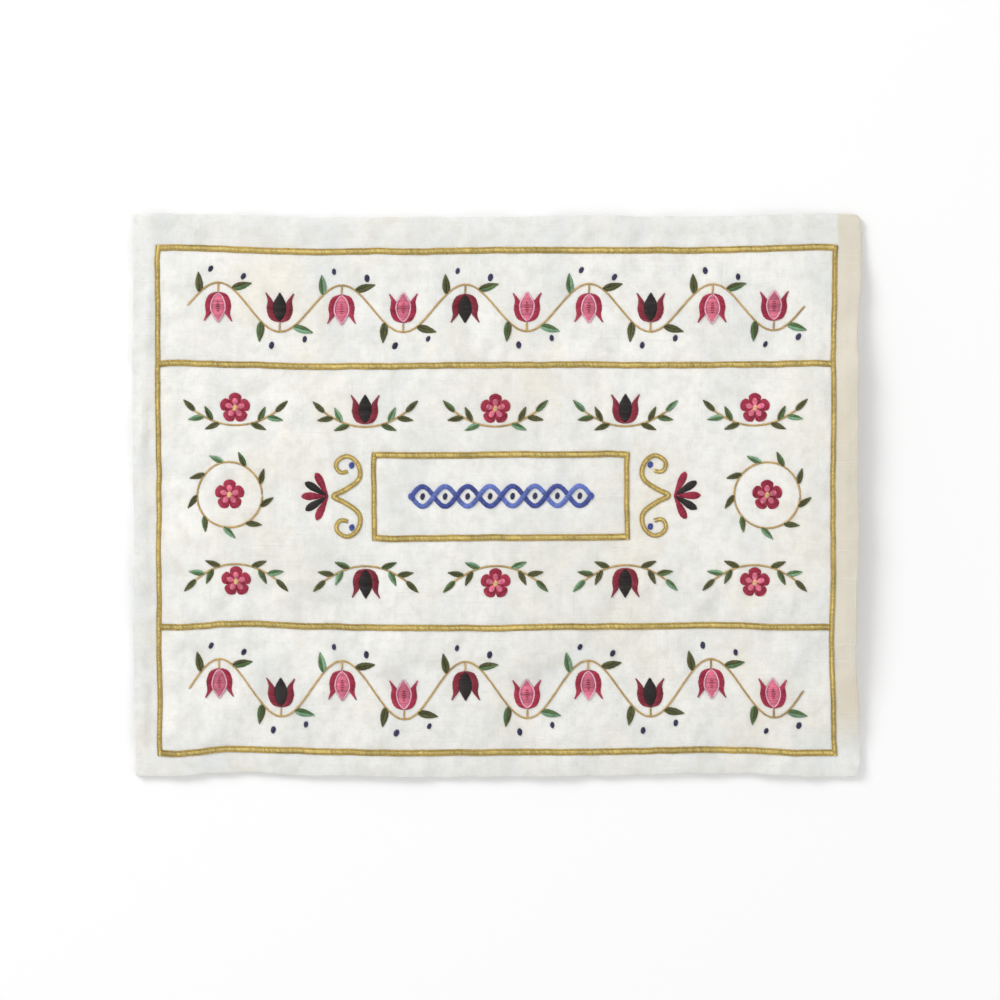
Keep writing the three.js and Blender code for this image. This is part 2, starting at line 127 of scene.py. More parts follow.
class PatternSettings(PropertyGroup):
    """The places and sizes of the embroidery on the flat cloth."""

    gold_line: length("Gold line", "Width of the gold lines", 2.6)
    upright_share: share("Upright share", "Width of the upright gold lines against the level ones", 0.74)
    gold_wander: length("Gold wander", "How far a gold line strays from its course", 0.35)
    side_margin: length("Side margin", "From the side of the cover to the border", 11.2)
    top_margin: length("Top margin", "From the top of the cover to the border", 15.05)
    bottom_margin: length("Bottom margin", "From the bottom of the cover to the border", 10.7)
    upper_band: length("Upper band", "Height of the upper band", 51.2)
    lower_band: length("Lower band", "Height of the lower band", 55.5)
    cartouche_width: length("Cartouche width", "Width of the frame in the middle", 111.4)
    cartouche_height: length("Cartouche height", "Height of the frame in the middle", 36.3)
    cartouche_x: length("Cartouche offset", "How far the frame lies right of the middle", 2.5)
    piece_gap: length("Piece gap", "Clear cloth between neighbouring pieces", 0.6)
    plait_margin: length("Plait margin", "From the frame's ends to the plait", 16)
    plait_height: length("Plait height", "Height of the plait", 11)
    plait_strand: length("Plait strand", "Width of one strand of the plait", 2.2)
    plait_crossings: IntProperty(name="Plait crossings", description="Half waves of each strand", default=8)
    tulip_width: length("Tulip width", "Width of a tulip", 12.5)
    tulip_height: length("Tulip height", "Height of a tulip", 13.5)
    rosette_radius: length("Rosette radius", "Radius of a rosette", 6.6)
    stem_width: length("Stem width", "Width of stems and twigs", 1.2)
    leaf_length: length("Leaf length", "Length of a vine leaf", 9)
    leaf_width: length("Leaf width", "Width of a vine leaf", 3.4)
    small_leaf_length: length("Small leaf length", "Length of a leaf on a twig", 7)
    small_leaf_width: length("Small leaf width", "Width of a leaf on a twig", 2.5)
    vine_end_margin: length("Vine end margin", "From the border to the ends of a vine", 13)
    vine_side_margin: length("Vine side margin", "From a gold line to the crests of a vine", 15)
    vine_half_waves: IntProperty(name="Vine half waves", description="Half waves of a vine", default=10)
    pedicel: length("Pedicel", "Length of a flower's own stalk", 3.6)
    sprays_in_row: IntProperty(name="Sprays in a row", description="Sprays above the frame", default=5)
    spray_end_margin: length("Spray end margin", "From the border to the row of sprays", 6)
    spray_gap: length("Spray gap", "Clear cloth between two sprays", 6)
    spray_sag: length("Spray sag", "How deep a twig is bowed", 7)
    wreath_radius: length("Wreath radius", "Radius of a wreath's ring", 14.5)
    wreath_leaves: IntProperty(name="Wreath leaves", description="Leaves round a wreath", default=9)
    scroll_standoff: length("Scroll standoff", "From the frame to a scroll", 5)
    scroll_width: length("Scroll width", "Width of a scroll's line", 2)
    scroll_height: length("Scroll height", "Height of a scroll", 37)
    scroll_depth: length("Scroll depth", "Depth of a scroll", 14)
    petal_length: length("Petal length", "Length of a palmette's petal", 11.5)
    petal_width: length("Petal width", "Width of a palmette's petal", 3.6)
    dot: length("Dot", "Width of a dot of thread", 2.2)


class ThreadSettings(PropertyGroup):
    """The stitches and the colours of their thread."""

    pitch: length("Pitch", "Spacing of satin stitches", 0.43)
    row_pitch: length("Row pitch", "Spacing of the stitches in gold lines", 0.52)
    radius: length("Radius", "Half the width of a stitch", 0.25)
    lift: length("Lift", "How high a satin stitch stands over the silk", 0.55)
    dip: length("Dip", "How deep its ends go into the silk", 0.3)
    stem_pitch: length("Stem pitch", "Spacing of stem stitches", 0.75)
    stem_slant: length("Stem slant", "How far a stem stitch runs along the stem", 2.6)
    ragged: length("Ragged", "How unevenly the stitches end", 0.16)
    seed: IntProperty(name="Seed", description="Seed of the stitches' unevenness", default=11)
    gold: dye("Gold", "Gold thread", 223, 202, 124)
    # Darker gold of the outline rows, which also paints the shade along the edges of every gold line
    edge_gold_and_shade: dye("Old gold", "Darker gold thread", 176, 147, 66)
    crimson: dye("Crimson", "Crimson thread", 170, 28, 66)
    maroon: dye("Maroon", "Maroon thread", 138, 22, 48)
    pale_pink: dye("Pale pink", "Light pink thread", 244, 176, 194)
    pink: dye("Pink", "Pink thread", 230, 124, 150)
    black: dye("Black", "Near-black thread", 24, 10, 9)
    olive: dye("Olive", "Dark olive thread", 80, 82, 34)
    green: dye("Green", "Green thread", 84, 116, 66)
    pale_green: dye("Pale green", "Light green thread", 124, 164, 128)
    tan: dye("Tan", "Tan thread of the stems", 192, 158, 94)
    navy: dye("Navy", "Navy thread", 42, 42, 84)
    blue: dye("Blue", "Blue thread", 68, 84, 162)
    pale_blue: dye("Pale blue", "Light blue thread", 104, 124, 196)


class StudioSettings(PropertyGroup):
    """The floor, the lights and the camera."""

    floor_size: length("Floor size", "Width of the floor", 24000)
    floor: dye("Floor", "Colour of the floor", 250, 250, 250)
    sky: FloatProperty(name="Sky", description="Strength of the light from all round", default=0.66, min=0)
    key: FloatProperty(name="Key", description="Power of the main light in watts", default=40, min=0)
    fill: FloatProperty(name="Fill", description="Power of the second light in watts", default=14, min=0)
    view_width: length("View width", "Width that the camera sees at the cover", 436.5)
    lens: FloatProperty(name="Lens", description="Focal length in millimetres", default=100, min=1)
    camera_x: FloatProperty(name="Camera x", description="Camera's place along X", default=1.5 * MM)
    camera_y: FloatProperty(name="Camera y", description="Camera's place along Y", default=-2.0 * MM)


# Outlines drawn by their half, from base to tip, as shares of the length and of half the width

PETAL_HALF = [(0, 0.12), (0.3, 0.55), (0.62, 0.98), (0.82, 0.94), (0.95, 0.55), (1, 0)]
TULIP_OUTER = [(0, 0), (0.1, 0.66), (0.4, 0.94), (0.72, 0.88), (0.96, 1)]
TULIP_INNER = [(0.03, 0), (0.16, 0.24), (0.42, 0.44), (0.66, 0.46), (0.96, 1)]
TULIP_HEART = [(0.03, 0), (0.16, 0.3), (0.42, 0.5), (0.66, 0.46), (1, 0)]
HEART_SEEDS = [(0.3, 0.04), (0.4, 0.14), (0.55, 0.16), (0.66, 0.04)]

# One half of a scroll, as shares of its depth and of half its height
SCROLL_HALF = [
    (0.98, 0), (0.6, 0.14), (0.12, 0.42), (0.16, 0.78), (0.5, 0.97), (0.86, 0.8), (0.74, 0.56), (0.48, 0.6)
]
SCROLL_EYE = (0.36, 0.74)

# Leaves along a half wave of the vine and along half a twig: place, side and lean in degrees
VINE_LEAVES = [(0.2, 1, 50), (0.72, 1, 54)]
SPRAY_LEAVES = [(0.38, -1, 38), (0.56, 1, 42), (0.76, -1, 40), (0.97, 1, 8)]
WREATH_LEAF_LEAN = 55
CORNER_OVERLAP = 0.3 * MM

# Gold lines: where the edge rows begin and how far the middle covers them, as shares of half the width
EDGE_ROW = 0.55
CORE_OVERLAP = 0.1
GOLD_SLANT = 1.4 * MM

# Dots of thread by each crest of a vine: along the vine, and away from it
DOTS_BY_CREST = [(-3.5 * MM, 6 * MM), (11 * MM, 3 * MM)]
PALMETTE_ANGLES = [-64, -32, 0, 32, 64]

# Creases of the silk: place as shares of the cover, direction in degrees, then length, width and height
CREASES = [
    (0.016, 0.66, 88, 80 * MM, 1.4 * MM, 0.9 * MM),
    (0.026, 0.45, 91, 110 * MM, 1.4 * MM, -0.9 * MM),
    (0.014, 0.2, 92, 80 * MM, 1.4 * MM, 0.9 * MM),
    (0.027, 0.14, 88, 60 * MM, 1.4 * MM, -0.8 * MM),
    (0.024, 0.84, 87, 50 * MM, 1.4 * MM, 0.8 * MM),
    (0.978, 0.52, 90, 220 * MM, 1.5 * MM, 0.4 * MM),
    (0.77, 0.07, 62, 26 * MM, 2.5 * MM, 0.6 * MM),
    (0.79, 0.1, 118, 18 * MM, 2.5 * MM, -0.5 * MM),
    (0.6, 0.03, 70, 20 * MM, 4 * MM, 0.5 * MM),
    (0.13, 0.03, 110, 18 * MM, 3 * MM, 0.5 * MM),
    (0.3, 0.96, 80, 24 * MM, 4 * MM, 0.5 * MM),
    (0.66, 0.97, 100, 22 * MM, 3 * MM, 0.4 * MM),
    (0.44, 0.7, 40, 40 * MM, 4 * MM, -0.4 * MM),
    (0.24, 0.07, 88, 26 * MM, 2.5 * MM, 0.5 * MM),
    (0.37, 0.05, 97, 22 * MM, 2.5 * MM, -0.5 * MM),
    (0.49, 0.08, 80, 24 * MM, 3 * MM, 0.5 * MM),
    (0.9, 0.05, 75, 20 * MM, 3 * MM, 0.5 * MM),
    (0.22, 0.3, 96, 44 * MM, 3 * MM, 0.45 * MM),
    (0.56, 0.32, 84, 40 * MM, 3 * MM, -0.45 * MM),
    (0.83, 0.36, 100, 46 * MM, 3 * MM, 0.45 * MM),
    (0.5, 0.9, 100, 40 * MM, 3 * MM, 0.45 * MM),
    (0.84, 0.86, 70, 36 * MM, 3 * MM, -0.4 * MM),
    (0.68, 0.33, 25, 46 * MM, 4 * MM, 0.4 * MM),
    (0.16, 0.42, 100, 36 * MM, 4 * MM, 0.4 * MM),
    (0.34, 0.2, 70, 40 * MM, 4 * MM, 0.4 * MM),
]

# Settings of the cloth simulation that lets the silk settle
DRAPE_SETTINGS = {
    "quality": 6,
    "mass": 0.15,
    "tension_stiffness": 20,
    "compression_stiffness": 20,
    "shear_stiffness": 12,
    "bending_stiffness": 0.6,
    "air_damping": 1.5,
    "vertex_group_mass": "sewn",
    "vertex_group_shrink": "stitched",
}
DRAPE_FRAMES = 18
DRAPE_START = 0.12 * MM

# Small creases of the silk: wavelength, and height as a share of the crumple
CRUMPLES = ((26 * MM, 1.6), (11 * MM, 1.15), (6 * MM, 0.5))
HEM_CORNER = 16 * MM
EDGE_FADE, EDGE_WAVE = 9 * MM, 16 * MM
SEAM_CLEARANCE = 0.15 * MM
DRAPE_WAVE = 14 * MM
REST_BLUR = 5 * MM
ALLOWANCE_WANDER, ALLOWANCE_WAVE = 0.6 * MM, 40 * MM

# The plain panel: depth and wavelength of its underside's waves and of its upper face's
UNDER_DEPTH, UNDER_WAVE = 0.16 * MM, 42 * MM
UPPER_DEPTH, UPPER_WAVE = 0.12 * MM, 30 * MM

# How far along the stitches of the plait's strands and of the palmettes' petals lean
PLAIT_SLANT, PETAL_SLANT = 0.5 * MM, 0.6 * MM

# Stitches: how much their tone drifts along a column, and differs from one to the next
TONE_DRIFT = 0.2
TONE_SCATTER = 0.17
LEAST_STITCH = 1.2

# How far a gold line's wander is smoothed, in steps along it, and over what length it fades at the ends
WANDER_STEP = 0.5 * MM
WANDER_LONG, WANDER_SHORT, SHORT_SHARE = 22, 5, 0.45
WANDER_FADE = 8 * MM

# Places and widths of the two lights
KEY_PLACE, KEY_SIZE = (-1.7, 1.5, 1.7), 1.3
FILL_PLACE, FILL_SIZE = (1.6, -1.2, 2.2), 2.0
FLOOR_DROP = 0.2 * MM

# Noises in the silk: grains to a metre along each axis, detail and roughness
SILK_NOISES = {
    "wander": ((260, 260, 260), 1.0, 0.5),
    "weft": ((30, 1100, 30), 3.0, 0.6),
    "warp": ((1100, 36, 36), 3.0, 0.6),
    "cool": ((60, 34, 40), 4.0, 0.68),
    "warm": ((24, 19, 30), 4.0, 0.62),
    "fleck": ((420, 420, 420), 3.0, 0.7),
    "rumple": ((190, 170, 190), 3.0, 0.6),
}

# What is made of them: the noise, and the values of it where this begins and is full
SILK_FEATURES = {
    "slub_across": ("weft", 0.58, 0.74),
    "slub_up": ("warp", 0.6, 0.76),
    "full_weft": ("weft", 0.28, 0.48),
    "full_warp": ("warp", 0.28, 0.46),
    "cool_patch": ("cool", 0.36, 0.7),
    "warm_patch": ("warm", 0.46, 0.76),
    "flecked": ("fleck", 0.48, 0.8),
    "rumpled": ("rumple", 0.42, 0.68),
}

# Grains to a metre in the thread: of its cast, and of its fibres
CAST_GRAIN = (60, 60, 60)
FIBRE_GRAIN = (5200, 5200, 5200)

# The weave's spacing, and the depth of the relief that the shaders add
YARN_SPACING = 0.5 * MM
SILK_RELIEF = 0.06 * MM
FIBRE_RELIEF = 0.05 * MM

# Linear colours of the light and dark yarns in raw silk; the darker one also darkens the silk where its
# small rumples rise
SLUB_LIGHT = (0.95, 0.945, 0.92)
DARKER_SILK = (0.66, 0.64, 0.56)

Column = namedtuple("Column", "left right thread slant pitch lift")


def lerp(low, high, part):
    """The value that lies this part of the way from low to high."""
    return low + (high - low) * part


def smooth_line(points, count):
    """Points evenly numbered along a smooth curve through the given ones."""
    points = np.asarray(points, float)
    padded = np.vstack([2 * points[0] - points[1], points, 2 * points[-1] - points[-2]])
    place = np.linspace(0, len(points) - 1, count)
    start = np.minimum(place.astype(int), len(points) - 2)
    part = (place - start)[:, None]
    a, b, c, d = (padded[start + step] for step in range(4))
    return b + part * ((c - a) + part * ((2 * a - 5 * b + 4 * c - d) + part * (3 * b - a - 3 * c + d))) / 2


def run_of(line):
    """How far along a line each of its points lies."""
    return np.append(0, np.cumsum(np.linalg.norm(np.diff(line, axis=0), axis=1)))


def evenly(line, step):
    """The same line with its points about this far apart."""
    run = run_of(line)
    distance = np.linspace(0, run[-1], max(2, round(run[-1] / step)) + 1)
    return np.stack([np.interp(distance, run, line[:, axis]) for axis in (0, 1)], axis=1)


def along(line, part):
    """Points of a line at these parts of its numbering, from 0 to 1."""
    place = np.clip(part, 0, 1) * (len(line) - 1)
    steps = np.arange(len(line))
    return np.stack([np.interp(place, steps, line[:, axis]) for axis in (0, 1)], axis=1)


def point_at(line, part):
    """The point of a line at this part of its numbering."""
    return along(line, np.array([part]))[0]


def across(line):
    """The direction to the left of a line at each of its points."""
    run = np.gradient(line, axis=0)
    run /= np.linalg.norm(run, axis=1, keepdims=True)
    return np.stack([-run[:, 1], run[:, 0]], axis=1)


def turned(points, degrees, place):
    """Points turned anticlockwise about the origin and then moved."""
    turn = degrees * DEGREE
    spin = np.array([[math.cos(turn), math.sin(turn)], [-math.sin(turn), math.cos(turn)]])
    return np.asarray(points, float) @ spin + np.asarray(place, float)


def satin(left, right, thread, slant=0.0, lift=1.0):
    """A column of stitches from one rail to the other. slant is how far along they lean."""
    threads = bpy.context.scene.cover_threads
    return Column(left, right, thread, slant, threads.pitch, threads.lift * lift)


def ribbon(line, width, thread, slant=0.0, **more):
    """A column along the middle of a line."""
    side = across(line) * width / 2
    return satin(line + side, line - side, thread, slant, **more)


def gold_rows(line, width, tip=1.0):
    """Light satin over the middle of a line and a darker row along each edge, thinner at its ends. The
    darker rows are outline thread that also paints the shade at the line's edges, and the light middle
    paints the highlight on its top.
    """
    threads = bpy.context.scene.cover_threads
    taper = lerp(1, tip, np.abs(np.linspace(-1, 1, len(line))))[:, None]
    side = across(line) * width / 2 * taper
    rows = []
    for way in (1, -1):
        # Darker outline rows: painted shade along both edges of the line
        rows.append(satin(line + way * side, line + way * EDGE_ROW * side, "edge_gold_and_shade", GOLD_SLANT))
    core = (EDGE_ROW + CORE_OVERLAP) * side
    rows.append(satin(line + core, line - core, "gold", GOLD_SLANT / 2, lift=1.2))
    return [row._replace(pitch=threads.row_pitch) for row in rows]


def wandering(line, seed):
    """A line that strays a little from its course, though not at its ends."""
    line = evenly(line, WANDER_STEP)
    run = run_of(line)
    fade = np.clip(np.minimum(run, run[-1] - run) / WANDER_FADE, 0, 1)
    rng = np.random.default_rng(seed)
    stray = drift(rng, len(line), WANDER_LONG) + SHORT_SHARE * drift(rng, len(line), WANDER_SHORT)
    stray *= bpy.context.scene.cover_pattern.gold_wander
    return line + across(line) * (fade * stray)[:, None]


def stem(line, width):
    """A line of stem stitch, in which long slanted stitches overlap like the turns of a rope."""
    threads = bpy.context.scene.cover_threads
    column = ribbon(line, width / 2, "tan", threads.stem_slant, lift=0.8)
    return column._replace(pitch=threads.stem_pitch)


def rails(half, size, degrees, place):
    """Both sides of an outline that points along +X, turned and put in its place."""
    length_, width = size
    left = smooth_line(half, 24) * [length_, width / 2]
    right = left * [1, -1]
    return turned(left, degrees, place), turned(right, degrees, place)


def leaf(place, degrees, length_, width, threads):
    """A leaf in two columns that meet on its vein, each in its own thread."""
    part = np.linspace(0, 1, 20)
    vein = np.stack([part * length_, 0 * part], axis=1)
    rise = np.stack([0 * part, width / 2 * np.sin(math.pi * part**0.8) ** 0.85], axis=1)
    left, middle, right = (turned(line, degrees, place) for line in (vein + rise, vein, vein - rise))
    slant = width * 0.55
    return [satin(left, middle, threads[0], -slant), satin(middle, right, threads[1], slant)]


def dot(place, size, thread="navy", tall=1.25, degrees=78, **more):
    """A dot of thread, a little longer one way."""
    reach = np.linspace(-1, 1, 12)
    arc = np.stack([reach * tall, np.sqrt(1.001 - reach**2)], axis=1) * size / 2
    return satin(turned(arc, degrees, place), turned(arc * [1, -1], degrees, place), thread, **more)


def tulip(place, degrees, petals, heart):
    """A tulip that opens along its direction, with two outer petals and a heart."""
    pattern = bpy.context.scene.cover_pattern
    size = (pattern.tulip_height, pattern.tulip_width)
    outer = rails(TULIP_OUTER, size, degrees, place)
    inner = rails(TULIP_INNER, size, degrees, place)
    left, right = rails(TULIP_HEART, size, degrees, place)
    slant = pattern.tulip_width * 0.12
    flower = [
        satin(left, right, heart),
        satin(outer[0], inner[0], petals, -slant),
        satin(inner[1], outer[1], petals, slant),
    ]
    if heart == "pink":
        seeds = rails(HEART_SEEDS, size, degrees, place)
        flower.append(satin(*seeds, petals, lift=1.7)._replace(pitch=pattern.tulip_height / 14))
        for rail in (left, right):
            flower.append(ribbon(rail, pattern.stem_width * 0.4, "pale_pink", slant, lift=1.3))
    return flower


def rosette(place):
    """A flower of round petals, each with a shorter one on it, and an eye."""
    radius = bpy.context.scene.cover_pattern.rosette_radius
    columns = []
    for reach, width, thread, lift in ((1, 0.92, "crimson", 1), (0.64, 0.44, "pink", 1.5)):
        for petal in range(5):
            degrees = 90 + petal * 72
            left, right = rails(PETAL_HALF, (radius * reach, radius * width), degrees, place)
            columns.append(satin(left, right, thread, lift=lift))
    columns.append(dot(place, radius * 0.36, "gold", 1, lift=1.9))
    return columns


class Layout:
    """Places on the flat cloth that follow from the pattern's sizes."""

    def __init__(self):
        self.sizes = sizes = bpy.context.scene.cover_pattern
        low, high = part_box("front_panel")
        self.width, self.height = high.x - low.x, high.y - low.y
        self.left = sizes.side_margin - self.width / 2
        self.right = self.width / 2 - sizes.side_margin
        self.top = self.height / 2 - sizes.top_margin
        self.bottom = sizes.bottom_margin - self.height / 2
        self.upper_divider = self.top - sizes.upper_band
        self.lower_divider = self.bottom + sizes.lower_band
        self.middle = np.array([sizes.cartouche_x, (self.upper_divider + self.lower_divider) / 2])
        scroll = sizes.scroll_standoff + sizes.scroll_depth + sizes.scroll_width / 2
        self.palmette_base = sizes.cartouche_width / 2 + scroll + sizes.piece_gap


def gold_sides(sizes, low, high, seed):
    """Gold lines round a rectangle. The upright ones run through its corners and the others stop there."""
    upright = sizes.gold_line * sizes.upright_share
    rows = []
    for number, (x, y) in enumerate((low, high)):
        line = np.array([[x, low[1] - sizes.gold_line / 2], [x, high[1] + sizes.gold_line / 2]])
        rows += gold_rows(wandering(line, [seed, number, 0]), upright)
        inset = upright / 2 - CORNER_OVERLAP
        line = np.array([[low[0] + inset, y], [high[0] - inset, y]])
        rows += gold_rows(wandering(line, [seed, number, 1]), sizes.gold_line)
    return rows


def draw_gold_lines(layout):
    """The border, the frame in the middle and the two dividers."""
    sizes = layout.sizes
    half = np.array([sizes.cartouche_width, sizes.cartouche_height]) / 2
    drawing = {
        "outer_border": gold_sides(sizes, (layout.left, layout.bottom), (layout.right, layout.top), 1),
        "cartouche_border": gold_sides(sizes, layout.middle - half, layout.middle + half, 2),
    }
    inset = sizes.gold_line * sizes.upright_share / 2
    for seed, (name, y) in enumerate((("upper", layout.upper_divider), ("lower", layout.lower_divider))):
        line = np.array([[layout.left + inset, y], [layout.right - inset, y]])
        drawing[f"{name}_divider"] = gold_rows(wandering(line, [3, seed]), sizes.gold_line)
    return drawing


def draw_plait(layout):
    """Two strands that pass over and under each other, with a dot in each eye."""
    sizes = layout.sizes
    part = np.linspace(0, 1, 24 * sizes.plait_crossings + 1)
    wave = np.sin(math.pi * sizes.plait_crossings * part)
    over = np.cos(math.pi * sizes.plait_crossings * part)
    half = sizes.cartouche_width / 2 - sizes.plait_margin
    x = layout.middle[0] + lerp(-half, half, part)
    columns = []
    for way, thread in ((1, "blue"), (-1, "pale_blue")):
        sway = (sizes.plait_height - sizes.plait_strand) / 2
        line = np.stack([x, layout.middle[1] + way * sway * wave], axis=1)
        columns.append(ribbon(line, sizes.plait_strand, thread, PLAIT_SLANT, lift=1.25 + 0.55 * way * over))
    for eye in range(sizes.plait_crossings):
        place = (layout.middle[0] + lerp(-half, half, (eye + 0.5) / sizes.plait_crossings), layout.middle[1])
        columns.append(dot(place, sizes.dot))
    for end in (-half, half):
        columns.append(dot(layout.middle + [end, 0], sizes.plait_strand * 1.3, "blue", 1, 90, lift=2))
    return {"cartouche_plait": columns}


def draw_scroll(layout, name, hand):
    """A scroll and the fan of petals beyond it, at one end of the frame."""
    sizes = layout.sizes
    inner = layout.middle + [hand * (sizes.cartouche_width / 2 + sizes.scroll_standoff), 0]
    half = np.array(SCROLL_HALF) * [hand * sizes.scroll_depth, sizes.scroll_height / 2]
    path = np.vstack([(half * [1, -1])[::-1], half[1:]]) + inner
    line = smoothed(evenly(smooth_line(path, 160), MM / 2), 2.2, (0,))
    scroll = gold_rows(line, sizes.scroll_width, 0.7)
    for way in (1, -1):
        eye = [hand * SCROLL_EYE[0] * sizes.scroll_depth, way * SCROLL_EYE[1] * sizes.scroll_height / 2]
        scroll.append(dot(inner + eye, sizes.dot * 1.2, "blue", 1))
    base = layout.middle + [hand * layout.palmette_base, 0]
    size = (sizes.petal_length, sizes.petal_width)
    petals = []
    for place, angle in enumerate(PALMETTE_ANGLES):
        degrees = (0 if hand > 0 else 180) + angle
        left, right = rails(PETAL_HALF, size, degrees, base)
        petals.append(satin(left, right, "black" if place % 2 else "crimson", PETAL_SLANT))
    return {f"{name}_scroll": scroll, f"{name}_palmette": petals}


def leaf_threads(number):
    """Dark leaves, with a lighter one now and then."""
    return [("olive", "olive"), ("olive", "green"), ("green", "pale_green"), ("olive", "olive")][number % 4]


def leaves_on(line, rows, length_, width, first=0, flip=1):
    """Leaves that leave a line at these places: part of its length, and degrees from its direction."""
    columns = []
    side = across(line)
    for number, (part, degrees) in enumerate(rows):
        place, left = point_at(line, part), point_at(side, part)
        heading = math.degrees(math.atan2(-left[0], left[1]))
        columns += leaf(place, heading + flip * degrees, length_, width, leaf_threads(first + number))
    return columns


def draw_vine(layout, name, bottom, top):
    """A wave of stem with leaves, a tulip in the hollow of each half wave, and dots of thread."""
    sizes = layout.sizes
    waves = sizes.vine_half_waves
    centre, sway = (bottom + top) / 2, (top - bottom) / 2 - sizes.vine_side_margin
    start = layout.left + sizes.vine_end_margin
    end = layout.right - sizes.vine_end_margin
    part = np.linspace(0, 1, 24 * waves + 1)
    line = np.stack([lerp(start, end, part), centre + sway * np.sin(math.pi * waves * part)], axis=1)
    vine = [stem(line, sizes.stem_width)]
    drawing, dots = {}, []
    for half in range(waves):
        way = 1 if half % 2 == 0 else -1
        rows = [((half + place) / waves, way * side * lean) for place, side, lean in VINE_LEAVES]
        vine += leaves_on(line, rows, sizes.leaf_length, sizes.leaf_width, first=half)
        x = lerp(start, end, (half + 0.5) / waves)
        crest = centre + way * sway
        foot = crest - way * sizes.pedicel
        base = foot - way * sizes.piece_gap
        vine.append(stem(np.linspace([x, crest], [x, base], 6), sizes.stem_width))
        colours = ("maroon", "black") if half % 3 == 1 else ("crimson", "pink")
        drawing[f"{name}_tulip_{half + 1}"] = tulip((x, base), -90 * way, *colours)
        for aside, rise in DOTS_BY_CREST:
            size = sizes.dot * (1 + 0.12 * math.sin(9 * half + rise / MM))
            dots.append(dot((x + aside, crest + way * rise), size, degrees=60 + 17 * half % 50))
    drawing[f"{name}_stem"] = vine
    return drawing, dots


def draw_vines(layout):
    """The vines of the upper and the lower band, and the dots of thread round them."""
    upper, upper_dots = draw_vine(layout, "upper_vine", layout.upper_divider, layout.top)
    lower, lower_dots = draw_vine(layout, "lower_vine", layout.bottom, layout.lower_divider)
    return upper | lower, upper_dots + lower_dots


def draw_sprays(layout, name, divider, way):
    """A row of bowed twigs with leaves, each with a rosette or a tulip."""
    sizes = layout.sizes
    edge = layout.middle[1] + way * sizes.cartouche_height / 2
    clear = sizes.stem_width / 2 + sizes.piece_gap
    low = (edge + divider) / 2 - way * (clear + sizes.tulip_height) / 2
    pitch = (layout.right - layout.left - 2 * sizes.spray_end_margin) / sizes.sprays_in_row
    half = (pitch - sizes.spray_gap) / 2 - sizes.small_leaf_length
    drawing = {}
    for number in range(sizes.sprays_in_row):
        x = (number - (sizes.sprays_in_row - 1) / 2) * pitch
        part = np.linspace(-1, 1, 61)
        line = np.stack([x + half * part, low + way * sizes.spray_sag * part**2], axis=1)
        twig = [stem(line, sizes.stem_width)]
        for hand in (1, -1):
            outwards = 0 if hand > 0 else 180
            rows = []
            for place, side, lean in SPRAY_LEAVES:
                rows.append((0.5 + hand * place / 2, outwards + side * hand * way * lean))
            twig += leaves_on(line, rows, sizes.small_leaf_length, sizes.small_leaf_width, first=number)
        if number % 2 == 0:
            flower = rosette((x, low + way * (clear + sizes.rosette_radius)))
        else:
            flower = tulip((x, low + way * clear), 90 * way, "maroon", "black")
        drawing[f"{name}_twig_{number + 1}"] = twig
        drawing[f"{name}_flower_{number + 1}"] = flower
    return drawing


def draw_wreath(layout, name, hand):
    """A ring of stem with leaves round it and a rosette in its middle."""
    sizes = layout.sizes
    reach = layout.middle[0] + hand * (layout.palmette_base + sizes.petal_length)
    place = np.array([(reach + (layout.right if hand > 0 else layout.left)) / 2, layout.middle[1]])
    turn = np.linspace(0, 2 * math.pi, 121)
    ring = place + sizes.wreath_radius * np.stack([np.cos(turn), np.sin(turn)], axis=1)
    wreath = [stem(ring, sizes.stem_width)]
    for number in range(sizes.wreath_leaves):
        part = (number + 0.5) / sizes.wreath_leaves
        degrees = part * 360 + WREATH_LEAF_LEAN
        size = (sizes.small_leaf_length, sizes.small_leaf_width)
        wreath += leaf(point_at(ring, part), degrees, *size, leaf_threads(number))
    return {f"{name}_wreath": wreath, f"{name}_wreath_flower": rosette(place)}


def draw_all():
    """Every column of the embroidery by the node that it stands for, and the loose dots."""
    layout = Layout()
    drawing = {**draw_gold_lines(layout), **draw_plait(layout)}
    for name, hand in (("left", -1), ("right", 1)):
        drawing |= draw_scroll(layout, name, hand)
        drawing |= draw_wreath(layout, name, hand)
    vines, dots = draw_vines(layout)
    drawing |= vines
    drawing |= draw_sprays(layout, "upper", layout.upper_divider, 1)
    drawing |= draw_sprays(layout, "lower", layout.lower_divider, -1)
    return drawing, dots


def smoothed(grid, cells, axes=(0, 1)):
    """Values blurred over this many cells, with their slopes kept at the edges."""
    reach = max(1, math.ceil(3 * cells))
    weights = np.exp(-0.5 * (np.arange(-reach, reach + 1) / cells) ** 2)
    weights /= weights.sum()
    for axis in axes:
        pads = [(reach, reach) if axis == other else (0, 0) for other in range(grid.ndim)]
        wide = np.pad(grid, pads, mode="reflect", reflect_type="odd")
        count = grid.shape[axis]
        parts = (np.take(wide, range(step, step + count), axis=axis) for step in range(len(weights)))
        grid = sum(weight * part for weight, part in zip(weights, parts))
    return grid


def regrid(grid, rows, columns):
    """The same surface of values with another number of rows and columns."""
    up = np.linspace(0, grid.shape[0] - 1, rows)
    low = np.minimum(up.astype(int), grid.shape[0] - 2)
    part = (up - low).reshape([-1] + [1] * (grid.ndim - 1))
    grid = lerp(grid[low], grid[low + 1], part)
    over = np.linspace(0, grid.shape[1] - 1, columns)
    low = np.minimum(over.astype(int), grid.shape[1] - 2)
    part = (over - low).reshape([1, -1] + [1] * (grid.ndim - 2))
    return lerp(grid[:, low], grid[:, low + 1], part)


def drift(rng, count, cells):
    """Seeded noise along a line, smooth over this many places, mostly between -1 and 1."""
    noise = smoothed(rng.standard_normal(count), cells, (0,))
    return noise / (2 * noise.std() + 1e-9)


def band_noise(rng, shape, cell, wavelength):
    """Smooth seeded noise of that wavelength, between about -1 and 1."""
    noise = smoothed(rng.standard_normal(shape), wavelength / cell / 4)
    return np.clip(noise / (2 * noise.std()), -1, 1)


